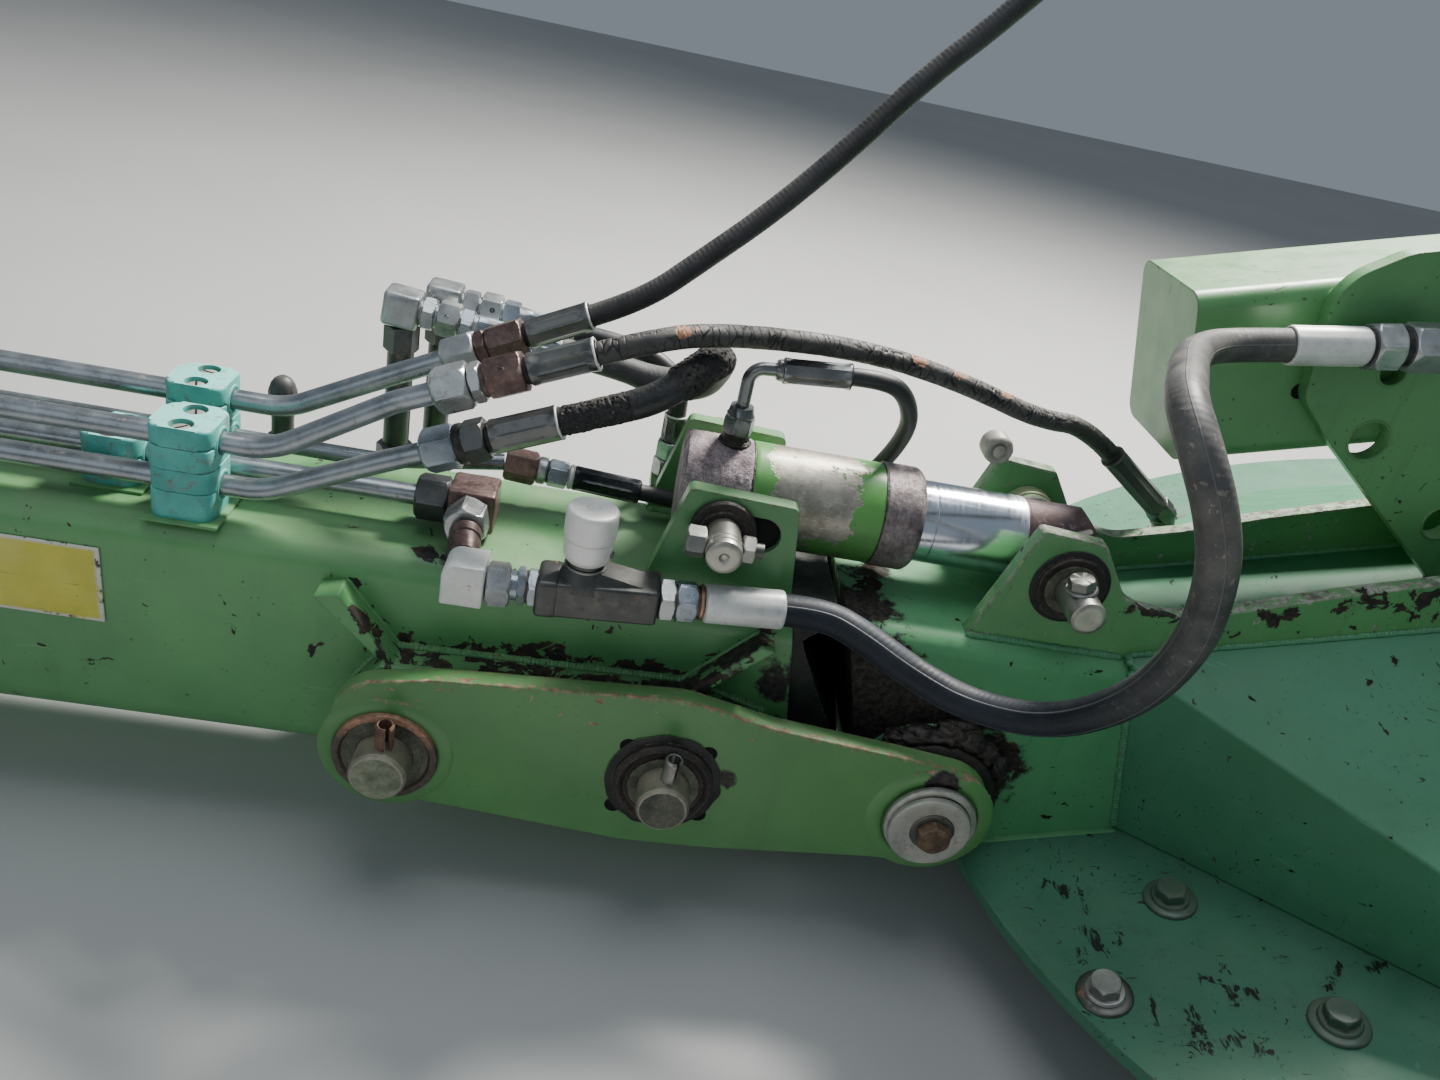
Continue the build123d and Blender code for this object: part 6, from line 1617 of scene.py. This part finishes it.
gr.make("hinge_grease", ["boss"], "head", angle=80)

# dark blocks in the gap between the boom's end and the head, one on each, side by side: painted shade for the deep
# shadow in that gap
def edge_at(line, z):
    for (x0, z0), (x1, z1) in zip(line, line[1:]):
        if z1 <= z <= z0:
            return x0 + (x1 - x0) * (z0 - z) / (z0 - z1)
    return line[-1][0]


def gap_block(piece, left, right, y0, y1, top, low, m=0):
    """Closed grid block between two upright edge lines, made lumpy by noise."""
    nx, ny, nz = 8, 16, 40
    at, v, f = {}, [], []

    def vert(i, j, k):
        if (i, j, k) not in at:
            z = top + (low - top) * k / nz
            x0, x1 = edge_at(left, z), edge_at(right, z)
            q = Vector((x0 + (x1 - x0) * i / nx, y0 + (y1 - y0) * j / ny, z))
            q += noise.noise_vector(q * 0.07) * 0.8
            at[(i, j, k)] = len(v)
            v.append(P(*q))
        return at[(i, j, k)]

    for j in range(ny):
        for k in range(nz):
            for i, turn in ((0, False), (nx, True)):
                q = (vert(i, j, k), vert(i, j + 1, k), vert(i, j + 1, k + 1), vert(i, j, k + 1))
                f.append(q[::-1] if turn else q)
    for i in range(nx):
        for k in range(nz):
            for j, turn in ((0, True), (ny, False)):
                q = (vert(i, j, k), vert(i + 1, j, k), vert(i + 1, j, k + 1), vert(i, j, k + 1))
                f.append(q[::-1] if turn else q)
        for j in range(ny):
            for k, turn in ((0, False), (nz, True)):
                q = (vert(i, j, k), vert(i + 1, j, k), vert(i + 1, j + 1, k), vert(i, j + 1, k))
                f.append(q[::-1] if turn else q)
    piece.add(v, f, m)


gb = Piece()
gap_block(gb, [(68.6, 122.0), (94.5, -36.0)],
          [(101.5, 122.0), (92.0, 115.0), (78.0, 103.0), (84.5, 90.0), (100.5, 60.0), (132.0, 0.0), (146.0, -30.0), (146.5, -36.0)], 43.0, 145.0, 122.0, -36.0)
gb.make("gap_end_block", ["gap"], "boom", angle=50)
gp = Piece()
gap_block(gp, [(104.0, 118.0), (104.0, -30.0), (114.0, -66.0)], [(106.6, 118.0), (159.4, -66.0)], 151.0, 189.0, 118.0, -66.0)
gp.make("gap_head_block", ["gap"], "head", angle=50)

# bolts on the base plate
BRIGHT = (20, 23, 5, 11)      # which bolts still show their plating


def flange_bolt(piece, c, up, seed):
    a_, b_ = (0, 1) if seed in BRIGHT else (2, 2)
    piece.lathe(c, up, [(0.2, 0), (0.2, 17.8), (1.0, 18.2), (2.4, 17.6), (3.2, 16.2), (3.4, 13.8), (3.4, 0)], seg=56, m=b_,
                fn=lambda q, th, r: r * (1 + 0.02 * noise.noise(Vector((math.cos(th) * 3, math.sin(th) * 3, seed)))))
    piece.lathe(c, up, [(3.3, 0), (3.3, 13.0), (4.2, 13.2), (5.6, 12.3), (5.8, 11.2), (5.8, 0)], seg=44, m=a_)
    piece.hexa(c, up, 5.6, 13.4, 10.9, m=a_, turn=seed * 0.37, cham=1.3)
    piece.lathe(c, up, [(13.3, 0), (13.3, 7.4), (13.0, 7.0), (13.0, 0)], seg=30, m=b_)


SB = [(150.0, 40), (494, -323), (568, -323), (912, 40), (912, 192), (568, 555), (494, 555), (150.0, 192)]


def inside(x, y, grow=14):
    ok = True
    for (ax, ay), (bx, by) in zip(SB, SB[1:] + SB[:1]):
        ex, ey = bx - ax, by - ay
        n = math.hypot(ex, ey)
        side = (ex * (y - ay) - ey * (x - ax)) / n
        if side < -grow:
            ok = False
    return ok


bolts = Piece()
a0 = math.atan2(-150, -366)
spots = [(531 + 395.4 * math.cos(a0 + 2 * math.pi * i / 20), 116 + 395.4 * math.sin(a0 + 2 * math.pi * i / 20)) for i in range(20)]
spots += [(95, -106), (95, 338), (967, -106), (967, 338)]
for k, (x, y) in enumerate(spots):
    inner_box = 20 < y < 212 and x < 170
    if inside(x, y) or inner_box:
        continue
    flange_bolt(bolts, H(x, y, -62), HZ, k)
    bolts.hexa(H(x, y, -74), -HZ, -0.2, 9.5, 12.0, m=1, turn=k * 0.3)
bolts.make("base_plate_bolts", ["bolt", "bolt_dark", "bolt_green"], "head", slot="zinc")

# rims of the carrier's holes and a small hole in the beam
cp = Piece()
for x, z, r in ((333, 265, 9), (327, 215, 14), (393, 143, 12)):
    cp.lathe(H(x, 110, z), -Y3, [(-0.4, r - 0.2), (0.7, r + 0.1), (0.9, r + 1.0), (0.4, r + 1.8), (-0.4, r + 2.0)], seg=48, m=0)
cp.make("carrier_hole_rims", ["carrier"], "head")
cq = Piece()
# the beam's small hole is a shallow near-black dish: painted shade
cq.lathe(H(278, 122.1, 252), -Y3, [(-0.2, 5.8), (0.5, 5.6), (0.6, 4.9), (0.25, 4.5), (0.2, 0)], seg=32, m=0)
cq.make("beam_hole", ["recess_shade"], "head")

# rear ear's lug and washers
rl = Piece()
rl.lathe(H(84, 176, 204), -Y3, [(-9, 0), (-9, 10.0), (-7, 11.6), (5, 11.6), (7.5, 10.8), (8.6, 9.4), (8.2, 6.0), (7.0, 4.4), (7.4, 0)], seg=56, m=0,
         fn=lambda q, th, r: r * (1 + 0.03 * noise.noise(Vector((math.cos(th) * 2, math.sin(th) * 2, q * 0.2)))))
rl.lathe(H(84, 176, 204), -Y3, [(8.4, 0), (8.4, 5.4), (10.6, 5.0), (11.2, 3.8), (11.2, 0)], seg=32, m=1)
rl.make("rear_ear_lug", ["lug", "lug"], "head")
rq = Piece()
for k in range(3):
    rq.lathe(H(105.2, 167.5 - k * 4.2, 152.9), -Y3, [(0, 0), (0, 19.5), (0.6, 20.2), (3.0, 20.2), (3.6, 19.5), (3.6, 0)], seg=64, m=0)
rq.make("rear_spacer_washers", ["pale_green"], "head")

# copper ring by the valve; the scored arc on the rod end is drawn in its material
cpz = Piece()
cpz.lathe(va, vu, [(143.0, 10.0), (143.0, 11.6), (144.2, 12.0), (145.2, 11.4), (145.2, 10.0), (143.0, 10.0)], seg=40)
cpz.make("copper_ring", ["copper"], "boom")

# ------------------------------------------------------------------ hoses: main, long and port hoses have their transforms baked into the mesh; the others ride the boom
for name, (ob, line, total, length, r, far, stiff) in hoses.items():
    if name == "main_hose":
        tuple(P(76, 31, 139))
        tuple(P(338, 88, 341))
        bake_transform(ob)
    elif name == "long_hose":
        tuple(P(88, 134, 282))
        tuple(P(292, 186, 235))
        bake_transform(ob)
    elif name == "port_hose_tube":
        tuple(P(40, 150, 142))
        tuple(P(92, 118, 268))
        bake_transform(ob)
    else:
        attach(ob, "boom")
    tuple(line[0])
    [tuple(p) for p in line]

# ------------------------------------------------------------------ floor and lights
def floor():
    me = bpy.data.meshes.new("floor")
    s, z = 7.0, -0.16
    me.from_pydata([(-s + 1, -s, z), (s + 1, -s, z), (s + 1, s, z), (-s + 1, s, z)], [], [(0, 1, 2, 3)])
    t = Tree("floor_pale")
    n = t.noise(2.0, 3, 0.5)
    t.done(t.mix(t.span(n, 0.3, 0.7), (0.40, 0.40, 0.395), (0.43, 0.43, 0.425)), 0.8)
    me.materials.append(t.mat)
    ob = bpy.data.objects.new("floor", me)
    bpy.context.scene.collection.objects.link(ob)


floor()
world = bpy.data.worlds.new("studio")
bpy.context.scene.world = world
world.use_nodes = True
bg = world.node_tree.nodes["Background"]
bg.inputs[0].default_value = (0.74, 0.87, 1.0, 1)
bg.inputs[1].default_value = 0.27


def lamp(name, at, to, size, power, color=(1, 1, 1), size_y=None):
    l = bpy.data.lights.new(name, "AREA")
    l.shape = "RECTANGLE"
    l.size = size
    l.size_y = size_y or size
    l.energy = power
    l.color = color
    o = bpy.data.objects.new(name, l)
    bpy.context.scene.collection.objects.link(o)
    o.location = at
    o.rotation_euler = (Vector(to) - Vector(at)).to_track_quat("-Z", "Y").to_euler()
    return o


lamp("key", (1.75, 1.45, 2.35), (0.75, 0.0, 0.1), 0.60, 265, (1.0, 0.965, 0.90))
lamp("fill", (-0.6, -2.0, 1.5), (0.8, 0.0, 0.05), 1.8, 7, (0.88, 0.94, 1.0))
lamp("top", (0.6, 0.1, 2.6), (0.7, 0.0, 0.0), 1.6, 26, (0.92, 0.96, 1.0))
